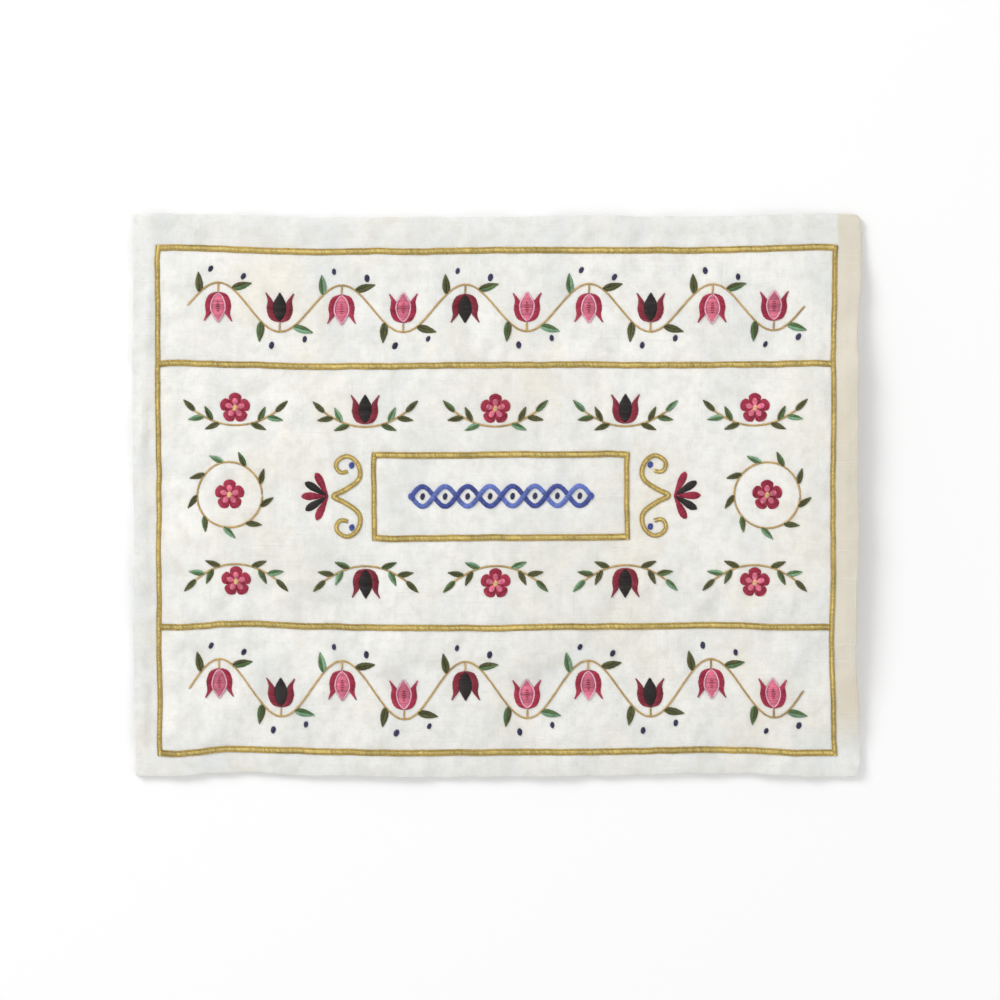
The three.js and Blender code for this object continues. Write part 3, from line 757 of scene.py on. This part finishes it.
class PanelShape:
    """A panel's edges in plan and the height of its upper face, read from its solid in the frame."""

    SAMPLES = 65

    def __init__(self, node):
        self.silk = bpy.context.scene.cover_silk
        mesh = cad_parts[node].data
        points = np.array([vertex.co[:] for vertex in mesh.vertices])
        self.edges = points[np.array([edge.vertices[:] for edge in mesh.edges])][:, :, :2]
        self.tree = BVHTree.FromPolygons(points.tolist(), [list(face.vertices) for face in mesh.polygons])
        low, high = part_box(node)
        self.top = high.z
        self.size = np.array([high.x - low.x, high.y - low.y])
        corners = (self.silk.left_corner, self.silk.upper_right_corner, self.silk.lower_right_corner)
        self.inward = [self.edge_table(axis, 1.5 * max(corners)) for axis in (0, 1)]

    def edge_table(self, axis, clear):
        """How far both ends of the panel lie inside its rectangle, on lines across this axis."""
        other = 1 - axis
        half = self.size / 2
        places = np.linspace(clear - half[other], half[other] - clear, self.SAMPLES)
        a, b = self.edges[:, 0], self.edges[:, 1]
        run = b[:, other] - a[:, other]
        rows = []
        for place in places:
            crosses = ((a[:, other] - place) * (b[:, other] - place) <= 0) & (np.abs(run) > 1e-9)
            part = (place - a[crosses, other]) / run[crosses]
            met = lerp(a[crosses, axis], b[crosses, axis], part)
            rows.append([met.min() + half[axis], half[axis] - met.max()])
        return places, np.array(rows)

    def plan(self, x, y):
        """Where points of the flat cloth lie, seen from above."""
        half = self.size / 2
        radius = np.where(y > 0, self.silk.upper_right_corner, self.silk.lower_right_corner)
        radius = np.where(x > 0, radius, self.silk.left_corner)
        out_x, out_y = np.abs(x) - (half[0] - radius), np.abs(y) - (half[1] - radius)
        corner = (out_x > 0) & (out_y > 0)
        distance = np.where(corner, np.hypot(out_x, out_y), 1)
        shrink = np.where(corner, np.maximum(out_x, out_y) / distance, 1)
        x = np.where(corner, np.sign(x) * (half[0] - radius + out_x * shrink), x)
        y = np.where(corner, np.sign(y) * (half[1] - radius + out_y * shrink), y)
        over, up = x / self.size[0] + 0.5, y / self.size[1] + 0.5

        def moved(table, place, part):
            places, (near, far) = table[0], table[1].T
            return np.interp(place, places, near) * (1 - part) ** 2 - np.interp(place, places, far) * part**2

        return x + moved(self.inward[0], y, over), y + moved(self.inward[1], x, up)

    def upper_face(self, cell):
        """Points of the upper face on an even grid of the flat cloth, inside its rolled edge."""
        inset = self.silk.thickness / 2
        columns, rows = (round(span / cell) + 1 for span in self.size)
        x, y = np.meshgrid(
            np.linspace(inset - self.size[0] / 2, self.size[0] / 2 - inset, columns),
            np.linspace(inset - self.size[1] / 2, self.size[1] / 2 - inset, rows),
        )
        half = self.size / 2 - 1.5 * inset
        x_in, y_in = self.plan(np.clip(x, -half[0], half[0]), np.clip(y, -half[1], half[1]))
        z = np.array([self.height(*place) for place in zip(x_in.ravel(), y_in.ravel())]).reshape(x.shape)
        x, y = self.plan(x, y)
        return np.stack([x, y, z], axis=2)

    def height(self, x, y):
        hit = self.tree.ray_cast(Vector((x, y, 2 * self.top)), Vector((0, 0, -1)))[0]
        return (hit or self.tree.find_nearest(Vector((x, y, self.top)))[0]).z


def normals_of(points):
    """The upward direction at each point of a grid of points."""
    along_x = np.gradient(points, axis=1)
    along_y = np.gradient(points, axis=0)
    normal = np.cross(along_x, along_y)
    return normal / np.linalg.norm(normal, axis=2, keepdims=True)


class LaidCloth:
    """The embroidered face as it lies, which stitches are put on."""

    def __init__(self):
        face = bpy.data.objects.get(FACE)
        if face is None:
            raise RuntimeError("Lay the embroidered face before its embroidery")
        rows, columns = face["rows"], face["columns"]
        self.points = places_of(face.data.vertices)[: rows * columns].reshape(rows, columns, 3)
        self.normals = normals_of(self.points)
        self.span = np.array(face["span"])

    def lay(self, x, y):
        """Points on the cloth and its upward directions, for points of the flat cloth."""
        rows, columns = self.points.shape[:2]
        over = np.clip((x / self.span[0] + 0.5) * (columns - 1), 0, columns - 1.001)
        up = np.clip((y / self.span[1] + 0.5) * (rows - 1), 0, rows - 1.001)
        column, row = over.astype(int), up.astype(int)
        part_x, part_y = (over - column)[..., None], (up - row)[..., None]

        def blend(grid):
            low = lerp(grid[row, column], grid[row, column + 1], part_x)
            high = lerp(grid[row + 1, column], grid[row + 1, column + 1], part_x)
            return lerp(low, high, part_y)

        return blend(self.points), blend(self.normals)


def places_of(vertices):
    """Where the vertices of a mesh are, as rows of an array."""
    places = np.empty(len(vertices) * 3)
    vertices.foreach_get("co", places)
    return places.reshape(-1, 3)


def numbered_grid(rows, columns):
    """The numbers of a grid's points, and the corners of its four-sided faces."""
    number = np.arange(rows * columns).reshape(rows, columns)
    corners = [number[:-1, :-1], number[:-1, 1:], number[1:, 1:], number[1:, :-1]]
    return number, np.stack(corners, axis=2).reshape(-1, 4)


def new_object(name, data):
    """A new object in the scene."""
    thing = bpy.data.objects.new(name, data)
    bpy.context.scene.collection.objects.link(thing)
    return thing


def mesh_object(name, points, faces, materials, material_of_face=None):
    """A smooth mesh object from arrays, which rides on the cover."""
    mesh = bpy.data.meshes.new(name)
    mesh.from_pydata(points.tolist(), [], faces)
    for material in materials:
        mesh.materials.append(material)
    if material_of_face is not None:
        mesh.polygons.foreach_set("material_index", material_of_face)
    mesh.polygons.foreach_set("use_smooth", np.ones(len(mesh.polygons), bool))
    mesh.update()
    thing = new_object(name, mesh)
    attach(thing, "root")
    return thing


class Stitches:
    """Stitches of one piece, gathered as arrays and made into one mesh."""

    STATIONS = np.array([0, 0.14, 0.5, 0.86, 1])
    ARCH = np.array([0, 0.78, 1, 0.78, 0])
    CORNERS = ((1, -0.45), (0, 0.8), (-1, -0.45))

    def __init__(self, cloth, seed):
        self.cloth = cloth
        self.threads = bpy.context.scene.cover_threads
        self.rng = np.random.default_rng(seed)
        self.rows = []
        self.names = []

    def add(self, column):
        """The stitches of a column, on the flat cloth."""
        rails_run = [np.diff(run_of(rail)) for rail in (column.left, column.right)]
        run = np.append(0, np.cumsum(np.maximum(*rails_run)))
        numbers = np.linspace(0, 1, len(run))
        count = max(3, round(run[-1] / column.pitch))
        distance = (np.arange(count) + 0.5) / count * run[-1]
        start = along(column.left, np.interp(distance - column.slant / 2, run, numbers))
        end = along(column.right, np.interp(distance + column.slant / 2, run, numbers))
        reach = end - start
        size = np.linalg.norm(reach, axis=1)
        out = reach / np.maximum(size, 1e-9)[:, None]
        uneven = self.rng.uniform(0, self.threads.ragged, (2, count))
        start, end = start - out * uneven[0][:, None], end + out * uneven[1][:, None]
        kept = size > LEAST_STITCH * self.threads.radius
        lifts = np.atleast_1d(column.lift)
        lift = np.interp(distance / run[-1], np.linspace(0, 1, len(lifts)), lifts)
        tone = 0.5 + TONE_DRIFT * drift(self.rng, count, max(3, count / 60))
        tone = np.clip(tone + TONE_SCATTER * self.rng.standard_normal(count), 0, 1)
        if column.thread not in self.names:
            self.names.append(column.thread)
        thread = np.full(count, self.names.index(column.thread))
        self.rows.append(tuple(values[kept] for values in (start, end, lift, tone, thread)))

    def build(self, name):
        """One mesh of all the stitches, each a closed arched prism, laid on the cloth."""
        start, end, lift, tone, thread = (np.concatenate(values) for values in zip(*self.rows))
        count, stations, corners = len(start), len(self.STATIONS), len(self.CORNERS)
        flat = start[:, None] + (end - start)[:, None] * self.STATIONS[None, :, None]
        place, normal = self.cloth.lay(flat[..., 0], flat[..., 1])
        dip = self.threads.dip
        height = -dip + (lift[:, None] + dip) * self.ARCH[None]
        place = place + normal * height[..., None]
        run = place[:, -1:] - place[:, :1]
        side = np.cross(normal, run)
        side /= np.linalg.norm(side, axis=2, keepdims=True)
        radius = self.threads.radius * self.rng.uniform(0.85, 1.15, count)[:, None, None]
        rings = [place + radius * (over * side + up * normal) for over, up in self.CORNERS]
        points = np.stack(rings, axis=2).reshape(-1, 3)
        first = (np.arange(count) * stations * corners)[:, None]
        pattern = []
        for station in range(stations - 1):
            for corner in range(corners):
                a = station * corners + corner
                b = station * corners + (corner + 1) % corners
                pattern.append((a, a + corners, b + corners, b))
        quads = (first[:, :, None] + np.array(pattern)[None]).reshape(-1, 4).tolist()
        last = (stations - 1) * corners
        ends = np.array([[0, 1, 2], [last + 2, last + 1, last]])
        caps = (first[:, :, None] + ends[None]).reshape(-1, 3).tolist()
        material_of_face = np.concatenate([np.repeat(thread, len(pattern)), np.repeat(thread, 2)])
        materials = [thread_finish(key) for key in self.names]
        thing = mesh_object(name, points, quads + caps, materials, material_of_face)
        tones = thing.data.attributes.new("tone", "FLOAT", "POINT")
        tones.data.foreach_set("value", np.repeat(tone, stations * corners))
        return thing


def embroider(drawing):
    """One mesh of stitches for each node of a drawing, in that node's place."""
    cloth = LaidCloth()
    seed = bpy.context.scene.cover_threads.seed
    for number, (node, columns) in enumerate(drawing.items()):
        stitches = Stitches(cloth, [seed, number])
        for column in columns:
            stitches.add(column)
        thing = stitches.build(f"{node}_stitches")
        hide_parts(node)


class Value:
    """A shader socket that Python's operators work on, which adds the Math nodes."""

    def __init__(self, finish, socket):
        self.finish = finish
        self.socket = socket

    def math(self, operation, *others, first=None):
        values = [self if first is None else first, *others]
        return self.finish.node("ShaderNodeMath", {"operation": operation}, dict(enumerate(values)))

    def __add__(self, other):
        return self.math("ADD", other)

    def __radd__(self, other):
        return self.math("ADD", self, first=other)

    def __sub__(self, other):
        return self.math("SUBTRACT", other)

    def __rsub__(self, other):
        return self.math("SUBTRACT", self, first=other)

    def __mul__(self, other):
        return self.math("MULTIPLY", other)

    def __rmul__(self, other):
        return self.math("MULTIPLY", self, first=other)

    def sine(self):
        return self.math("SINE")

    def smooth(self, low, high):
        """0 below low and 1 above high, eased between them."""
        values = {"Value": self, "From Min": low, "From Max": high}
        return self.finish.node("ShaderNodeMapRange", {"interpolation_type": "SMOOTHSTEP"}, values)


class Finish:
    """A material of the cover, built up node by node."""

    def __init__(self, name, roughness, constants):
        self.material = bpy.data.materials.new(name)
        self.material.use_nodes = True
        self.nodes = self.material.node_tree.nodes
        self.links = self.material.node_tree.links
        self.shader = self.nodes["Principled BSDF"]
        self.shader.inputs["Roughness"].default_value = roughness
        for key, value in constants.items():
            self.shader.inputs[key].default_value = value

    def node(self, kind, settings=None, values=None, output=0):
        """The output of a new node, with its settings made first and then its sockets filled."""
        node = self.nodes.new(kind)
        for key, value in (settings or {}).items():
            setattr(node, key, value)
        for key, value in (values or {}).items():
            self.fill(node.inputs[key], value)
        return Value(self, node.outputs[output])

    def fill(self, socket, value):
        """A link, a colour or a plain value into a socket."""
        if isinstance(value, Value):
            self.links.new(value.socket, socket)
        elif hasattr(value, "__len__") and len(value) == 3 and socket.type == "RGBA":
            socket.default_value = (*value, 1)
        else:
            socket.default_value = value

    def set(self, name, value):
        self.fill(self.shader.inputs[name], value)

    def place(self):
        """Where a point is, in metres."""
        return self.node("ShaderNodeTexCoord", output="Object")

    def stretched(self, factors):
        """Where a point is, with each axis multiplied."""
        values = {0: self.place(), 1: factors}
        return self.node("ShaderNodeVectorMath", {"operation": "MULTIPLY"}, values)

    def noise(self, factors, detail=2.0, roughness=0.5):
        """Noise from 0 to 1 whose grains have these many to a metre along each axis."""
        values = {"Vector": self.stretched(factors), "Scale": 1.0, "Detail": detail, "Roughness": roughness}
        return self.node("ShaderNodeTexNoise", {"noise_dimensions": "3D"}, values)

    def attribute(self, name):
        """A value kept at the points of the mesh."""
        return self.node("ShaderNodeAttribute", {"attribute_name": name}, output="Fac")

    def mix(self, part, low, high):
        """A colour between two."""
        return self.node("ShaderNodeMix", {"data_type": "RGBA"}, {0: part, 6: low, 7: high}, output=2)

    def bump(self, height, distance, strength=1.0):
        """The surface with small relief. distance is the height of a value of 1, in metres."""
        values = {"Height": height, "Distance": distance, "Strength": strength}
        self.set("Normal", self.node("ShaderNodeBump", values=values))


def silk_finish(name, clouds):
    """Raw silk: a plain weave with slubs both ways, clouded with cooler and warmer patches, with painted
    shade outside the border and on the hem's warm colour at the open end.
    """
    silk = bpy.context.scene.cover_silk
    finish = Finish(name, 0.78, {"Sheen Weight": 0.2, "Sheen Roughness": 0.4})
    yarn = 2 * math.pi / YARN_SPACING
    parts = finish.node("ShaderNodeSeparateXYZ", values={0: finish.place()})
    x, y = parts, Value(finish, parts.socket.node.outputs[1])
    noise = {key: finish.noise(*row) for key, row in SILK_NOISES.items()}
    some = {key: noise[source].smooth(low, high) for key, (source, low, high) in SILK_FEATURES.items()}
    wander = noise["wander"] * 2.4
    weave = (x * yarn + wander).sine() * (y * yarn + wander).sine()
    thin = (1 - some["full_weft"]) * 0.5 + (1 - some["full_warp"]) * 0.4
    # The hem at the open end: its own warm colour, with painted shade where the edge curves down
    hem = finish.attribute("hem") * (0.7 + some["warm_patch"] * 0.3)
    layers = (
        # Painted shade: the silk outside the border greyed as where the cover slopes down to its edges
        (finish.attribute("margin") * 0.6, silk.margin_silk),
        (some["cool_patch"] * (0.7 * clouds), silk.grey_silk),
        (some["warm_patch"] * (0.6 * clouds), silk.cream_silk),
        # Darker where the rumple noise, which also raises the relief, is high
        (some["rumpled"] * (0.32 * clouds), DARKER_SILK),
        # The hem's warm colour with painted shade at the open end
        (hem, silk.hem_silk),
        (some["slub_across"] * 0.4 + some["slub_up"] * 0.3, SLUB_LIGHT),
        (thin * 0.24 + some["flecked"] * 0.32, DARKER_SILK),
    )
    colour = silk.silk
    for part, dyed in layers:
        colour = finish.mix(part, colour, dyed)
    finish.set("Base Color", colour)
    finish.set("Roughness", 0.82 - some["slub_across"] * 0.12)
    relief = weave * 0.5 + some["slub_across"] * 1.4 + some["slub_up"] * 1.4
    relief = relief + noise["weft"] * 0.7 + noise["warp"] + noise["fleck"] * 1.2 + noise["rumple"] * 5.0
    finish.bump(relief, SILK_RELIEF)
    return finish.material


def thread_finish(key):
    """Embroidery thread of one dye, whose stitches differ a little in tone."""
    name = f"dyed_{key}"
    if name in bpy.data.materials:
        return bpy.data.materials[name]
    dyed = np.array(getattr(bpy.context.scene.cover_threads, key)[:])
    sheen = {"Sheen Weight": 0.12, "Sheen Roughness": 0.35}
    finish = Finish(name, 0.42, {**sheen, "Specular IOR Level": 0.4})
    tone = finish.attribute("tone")
    cast = finish.noise(CAST_GRAIN, 2.0)
    dark, light = dyed * 0.62, np.minimum(dyed * 1.28 + 0.03, 1)
    colour = finish.mix((tone * 0.7 + cast * 0.5 - 0.1).smooth(0.1, 0.9), tuple(dark), tuple(light))
    fibre = finish.noise(FIBRE_GRAIN, 2.0)
    finish.set("Base Color", finish.mix(fibre.smooth(0.35, 0.75) * 0.25, colour, tuple(light)))
    finish.set("Roughness", 0.36 + fibre * 0.2)
    finish.bump(fibre, FIBRE_RELIEF, 0.5)
    return finish.material


def sheet_object(name, top, underside, masks, clouds):
    """A closed sheet of cloth from grids of its upper and lower faces, with a round rim."""
    rows, columns = top.shape[:2]
    number, quads = numbered_grid(rows, columns)
    count = rows * columns
    ring = np.concatenate([number[0, :-1], number[:-1, -1], number[-1, :0:-1], number[:0:-1, 0]])
    upper, lower = top.reshape(-1, 3), underside.reshape(-1, 3)
    run = np.roll(upper[ring], -1, axis=0) - np.roll(upper[ring], 1, axis=0)
    out = np.stack([run[:, 1], -run[:, 0], 0 * run[:, 0]], axis=1)
    out /= np.linalg.norm(out, axis=1, keepdims=True)
    middle, half = (upper[ring] + lower[ring]) / 2, (upper[ring] - lower[ring]) / 2
    reach = np.linalg.norm(half, axis=1, keepdims=True)
    loops = [ring]
    points = [upper, lower]
    for step in (1, 2, 3):
        angle = step * math.pi / 4
        points.append(middle + half * math.cos(angle) + out * reach * math.sin(angle))
        loops.append(2 * count + (step - 1) * len(ring) + np.arange(len(ring)))
    loops.append(ring + count)
    faces = [quads, quads[:, ::-1] + count]
    for over, under in zip(loops[:-1], loops[1:]):
        faces.append(np.stack([over, under, np.roll(under, -1), np.roll(over, -1)], axis=1))
    silk = silk_finish(f"{name}_silk", clouds)
    thing = mesh_object(name, np.vstack(points), np.vstack(faces).tolist(), [silk])
    thing["rows"], thing["columns"] = rows, columns
    source = np.concatenate([number.ravel(), number.ravel(), ring, ring, ring])
    for key, mask in masks.items():
        thing.data.attributes.new(key, "FLOAT", "POINT").data.foreach_set("value", mask.ravel()[source])
    return thing


def cloth_masks(layout, shape):
    """Where the silk lies outside the border, and where it is the hem at the open end, on a grid. Both masks
    carry painted shade, the hem's also its own warm colour.
    """
    over, up = np.linspace(-0.5, 0.5, shape[1]), np.linspace(-0.5, 0.5, shape[0])
    x, y = np.meshgrid(over * layout.width, up * layout.height)
    # The margin mask, where painted shade greys the silk outside the border
    beyond = np.maximum.reduce([layout.left - x, x - layout.right, layout.bottom - y, y - layout.top])
    # The hem mask: the hem's own warm colour and painted shade where the open end curves down, fading
    # towards the lower corner
    hem = np.clip((x - layout.right - layout.sizes.gold_line / 2) / MM, 0, 1)
    corner = np.clip((y - layout.bottom) / HEM_CORNER, 0, 1)
    return {"margin": np.clip(beyond / MM, 0, 1), "hem": hem * corner}


def creased(x, y, size):
    """Height that the creases add at points of the flat cloth."""
    height = 0 * x
    for over, up, turn, long, wide, rise in CREASES:
        away = np.stack([x - (over - 0.5) * size[0], y - (up - 0.5) * size[1]], axis=-1)
        local = turned(away, -turn, (0, 0))
        taper = np.exp(-((2 * local[..., 0] / long) ** 2))
        height += rise * taper * np.exp(-np.abs(local[..., 1] / wide) ** 1.4)
    return height


def stitched_area(columns, shape, span):
    """1 where the flat cloth is stitched and 0 where it is bare, on a grid."""
    area = np.zeros(shape)
    for column in columns:
        for part in np.linspace(0, 1, 7):
            line = lerp(column.left, column.right, part)
            fine = along(line, np.linspace(0, 1, 12 * len(line)))
            over = np.rint((fine[:, 0] / span[0] + 0.5) * (shape[1] - 1)).astype(int)
            up = np.rint((fine[:, 1] / span[1] + 0.5) * (shape[0] - 1)).astype(int)
            area[up, over] = 1
    return area


def drape_by_simulation(rest, stitched, cell):
    """How the silk settles between its seams and its stitches: a grid of moves."""
    silk = bpy.context.scene.cover_silk
    rows, columns = (round(count * cell / silk.drape_cell) + 1 for count in rest.shape[:2])
    coarse = regrid(rest, rows, columns)
    weight = regrid(smoothed(stitched, 1), rows, columns)
    rng = np.random.default_rng(silk.seed)
    start = coarse.copy()
    start[..., 2] += DRAPE_START * band_noise(rng, (rows, columns), silk.drape_cell, DRAPE_WAVE)
    mesh = bpy.data.meshes.new("drape")
    mesh.from_pydata(start.reshape(-1, 3).tolist(), [], numbered_grid(rows, columns)[1].tolist())
    cloth = new_object("drape", mesh)
    sewn = np.zeros((rows, columns))
    sewn[:2], sewn[-2:], sewn[:, :2] = 1, 1, 1
    for name, values in (("sewn", sewn), ("stitched", weight)):
        group = cloth.vertex_groups.new(name=name)
        for place, value in enumerate(values.ravel().tolist()):
            group.add([place], min(max(value, 0), 1), "REPLACE")
    modifier = cloth.modifiers.new("drape", "CLOTH")
    settings = modifier.settings
    for key, value in DRAPE_SETTINGS.items():
        setattr(settings, key, value)
    settings.shrink_min = -silk.spare_cloth
    settings.shrink_max = silk.thread_pull
    settings.effector_weights.gravity = 0
    scene = bpy.context.scene
    for step in range(1, DRAPE_FRAMES + 1):
        scene.frame_set(step)
    settled = cloth.evaluated_get(bpy.context.evaluated_depsgraph_get()).to_mesh()
    move = places_of(settled.vertices).reshape(rows, columns, 3) - coarse
    scene.frame_set(1)
    bpy.data.objects.remove(cloth)
    distance = np.linalg.norm(move, axis=2, keepdims=True)
    limit = silk.wrinkle_limit
    move *= limit * np.tanh(distance / limit) / np.maximum(distance, 1e-9)
    return smoothed(regrid(move, *rest.shape[:2]), 0.9)


def from_edge(shape, cell):
    """How far inside the cover's edge each point of a grid lies."""
    rows, columns = shape
    up, over = np.arange(rows)[:, None], np.arange(columns)[None]
    return np.minimum(np.minimum(up, rows - 1 - up), np.minimum(over, columns - 1 - over)) * cell


def area_light(name, place, size, power):
    """A square light that faces the middle of the cover."""
    light = bpy.data.lights.new(name, "AREA")
    light.size = size
    light.energy = power
    lamp = new_object(name, light)
    lamp.location = place
    lamp.rotation_mode = "QUATERNION"
    lamp.rotation_quaternion = Vector(place).to_track_quat("Z", "Y")


class COVER_OT_stage(Operator):
    """Sets the pale floor, the soft lights and the camera above the cover"""

    bl_idname = "cover.stage"
    bl_label = "Set the stage"

    def execute(self, context):
        studio = context.scene.cover_studio
        half = studio.floor_size / 2
        mesh = bpy.data.meshes.new("floor")
        corners = [(-half, -half, 0), (half, -half, 0), (half, half, 0), (-half, half, 0)]
        mesh.from_pydata(corners, [], [(0, 1, 2, 3)])
        floor = new_object("floor", mesh)
        floor.location.z = -FLOOR_DROP
        finish = Finish("floor", 0.9, {"Specular IOR Level": 0.1})
        finish.set("Base Color", tuple(studio.floor))
        mesh.materials.append(finish.material)
        world = bpy.data.worlds.new("studio")
        world.use_nodes = True
        sky = world.node_tree.nodes["Background"]
        sky.inputs["Color"].default_value = (1, 1, 1, 1)
        sky.inputs["Strength"].default_value = studio.sky
        context.scene.world = world
        area_light("key", KEY_PLACE, KEY_SIZE, studio.key)
        area_light("fill", FILL_PLACE, FILL_SIZE, studio.fill)
        camera = bpy.data.cameras.new("camera")
        camera.lens = studio.lens
        distance = studio.view_width * studio.lens / camera.sensor_width
        seen = new_object("camera", camera)
        seen.location = (studio.camera_x, studio.camera_y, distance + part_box("front_panel")[1].z)
        context.scene.camera = seen
        context.scene.view_settings.view_transform = "Standard"
        return {"FINISHED"}


class COVER_OT_face(Operator):
    """Lays the embroidered panel and lets its silk settle between seams and stitches"""

    bl_idname = "cover.face"
    bl_label = "Embroidered face"

    def execute(self, context):
        silk = context.scene.cover_silk
        shape = PanelShape("front_panel")
        cell = silk.face_cell
        rest = shape.upper_face(cell)
        rest[..., 2] = smoothed(rest[..., 2], REST_BLUR / cell)
        span = shape.size - silk.thickness
        grid = rest.shape[:2]
        drawing, dots = draw_all()
        columns = [column for group in drawing.values() for column in group] + dots
        stitched = stitched_area(columns, grid, span)
        top = rest.copy()
        top += drape_by_simulation(rest, stitched, cell)
        rng = np.random.default_rng(silk.seed + 1)
        bare = 1 - smoothed(stitched, 0.8)
        top[..., 2] += silk.pucker * (bare - 1)
        for wavelength, part in CRUMPLES:
            top[..., 2] += silk.crumple * part * bare * band_noise(rng, grid, cell, wavelength)
        top[..., 2] += creased(rest[..., 0], rest[..., 1], shape.size)
        inside = from_edge(grid, cell)
        fade = np.clip(1 - inside / EDGE_FADE, 0, 1) ** 2
        for axis in (0, 1):
            top[..., axis] += silk.edge_wander * fade * band_noise(rng, grid, cell, EDGE_WAVE)
        stray = ALLOWANCE_WANDER * band_noise(rng, grid, cell, ALLOWANCE_WAVE)
        turned_in = silk.allowance + stray - inside
        top[..., 2] += silk.allowance_step * smoothed(np.clip(turned_in / MM + 0.5, 0, 1), 0.7)
        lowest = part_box("back_panel")[1].z + silk.thickness + SEAM_CLEARANCE
        top[..., 2] = np.maximum(top[..., 2], lowest)
        underside = top - [0, 0, silk.thickness]
        masks = cloth_masks(Layout(), grid)
        face = sheet_object(FACE, top, underside, masks, silk.face_clouds)
        face["span"] = span.tolist()
        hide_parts("front_panel")
        return {"FINISHED"}


class COVER_OT_back(Operator):
    """Makes the plain panel that the cover lies on"""

    bl_idname = "cover.back"
    bl_label = "Plain back"

    def execute(self, context):
        silk = context.scene.cover_silk
        shape = PanelShape("back_panel")
        top = shape.upper_face(silk.back_cell)
        rng = np.random.default_rng(silk.seed + 2)
        waves = band_noise(rng, top.shape[:2], silk.back_cell, UNDER_WAVE)
        underside = top.copy()
        underside[..., 2] = UNDER_DEPTH * (1 + waves)
        top[..., 2] += UPPER_DEPTH * band_noise(rng, top.shape[:2], silk.back_cell, UPPER_WAVE)
        masks = cloth_masks(Layout(), top.shape[:2])
        back = sheet_object(BACK, top, underside, masks, silk.back_clouds)
        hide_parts("back_panel")
        return {"FINISHED"}


class COVER_OT_gold_lines(Operator):
    """Stitches the gold border, the dividers and the frame in the middle"""

    bl_idname = "cover.gold_lines"
    bl_label = "Gold lines"

    def execute(self, context):
        embroider(draw_gold_lines(Layout()))
        return {"FINISHED"}


class COVER_OT_plait(Operator):
    """Stitches the blue plait inside the frame"""

    bl_idname = "cover.plait"
    bl_label = "Blue plait"

    def execute(self, context):
        embroider(draw_plait(Layout()))
        return {"FINISHED"}


class COVER_OT_scrolls(Operator):
    """Stitches the gold scrolls and the fans of petals beside the frame"""

    bl_idname = "cover.scrolls"
    bl_label = "Scrolls and palmettes"

    def execute(self, context):
        layout = Layout()
        embroider(draw_scroll(layout, "left", -1) | draw_scroll(layout, "right", 1))
        return {"FINISHED"}


class COVER_OT_vines(Operator):
    """Stitches the vines with their tulips, and the dots of thread round them"""

    bl_idname = "cover.vines"
    bl_label = "Vines"

    def execute(self, context):
        vines, dots = draw_vines(Layout())
        embroider(vines)
        stitches = Stitches(LaidCloth(), context.scene.cover_threads.seed)
        for column in dots:
            stitches.add(column)
        stitches.build("navy_dots")
        return {"FINISHED"}


class COVER_OT_sprays(Operator):
    """Stitches the two rows of sprays above and below the frame"""

    bl_idname = "cover.sprays"
    bl_label = "Sprays"

    def execute(self, context):
        layout = Layout()
        embroider(draw_sprays(layout, "upper", layout.upper_divider, 1))
        embroider(draw_sprays(layout, "lower", layout.lower_divider, -1))
        return {"FINISHED"}


class COVER_OT_wreaths(Operator):
    """Stitches the two wreaths beside the frame"""

    bl_idname = "cover.wreaths"
    bl_label = "Wreaths"

    def execute(self, context):
        layout = Layout()
        embroider(draw_wreath(layout, "left", -1) | draw_wreath(layout, "right", 1))
        return {"FINISHED"}


STEPS = (
    COVER_OT_stage,
    COVER_OT_face,
    COVER_OT_back,
    COVER_OT_gold_lines,
    COVER_OT_plait,
    COVER_OT_scrolls,
    COVER_OT_vines,
    COVER_OT_sprays,
    COVER_OT_wreaths,
)


class COVER_PT_steps(Panel):
    """Lists the steps that make the cover"""

    bl_idname = "COVER_PT_steps"
    bl_label = "Silk cover"
    bl_space_type = "VIEW_3D"
    bl_region_type = "UI"
    bl_category = "Silk cover"

    def draw(self, context):
        for step in STEPS:
            self.layout.operator(step.bl_idname)


SETTINGS = {
    "cover_silk": SilkSettings,
    "cover_pattern": PatternSettings,
    "cover_threads": ThreadSettings,
    "cover_studio": StudioSettings,
}


def register():
    for kind in (*SETTINGS.values(), *STEPS, COVER_PT_steps):
        bpy.utils.register_class(kind)
    for name, kind in SETTINGS.items():
        setattr(bpy.types.Scene, name, PointerProperty(type=kind))


def unregister():
    for name in SETTINGS:
        delattr(bpy.types.Scene, name)
    for kind in (COVER_PT_steps, *reversed(STEPS), *SETTINGS.values()):
        bpy.utils.unregister_class(kind)


def main():
    register()
    for step in STEPS:
        getattr(bpy.ops.cover, step.bl_idname.split(".")[1])()
    bpy.context.view_layer.update()


if __name__ == "__main__":
    main()
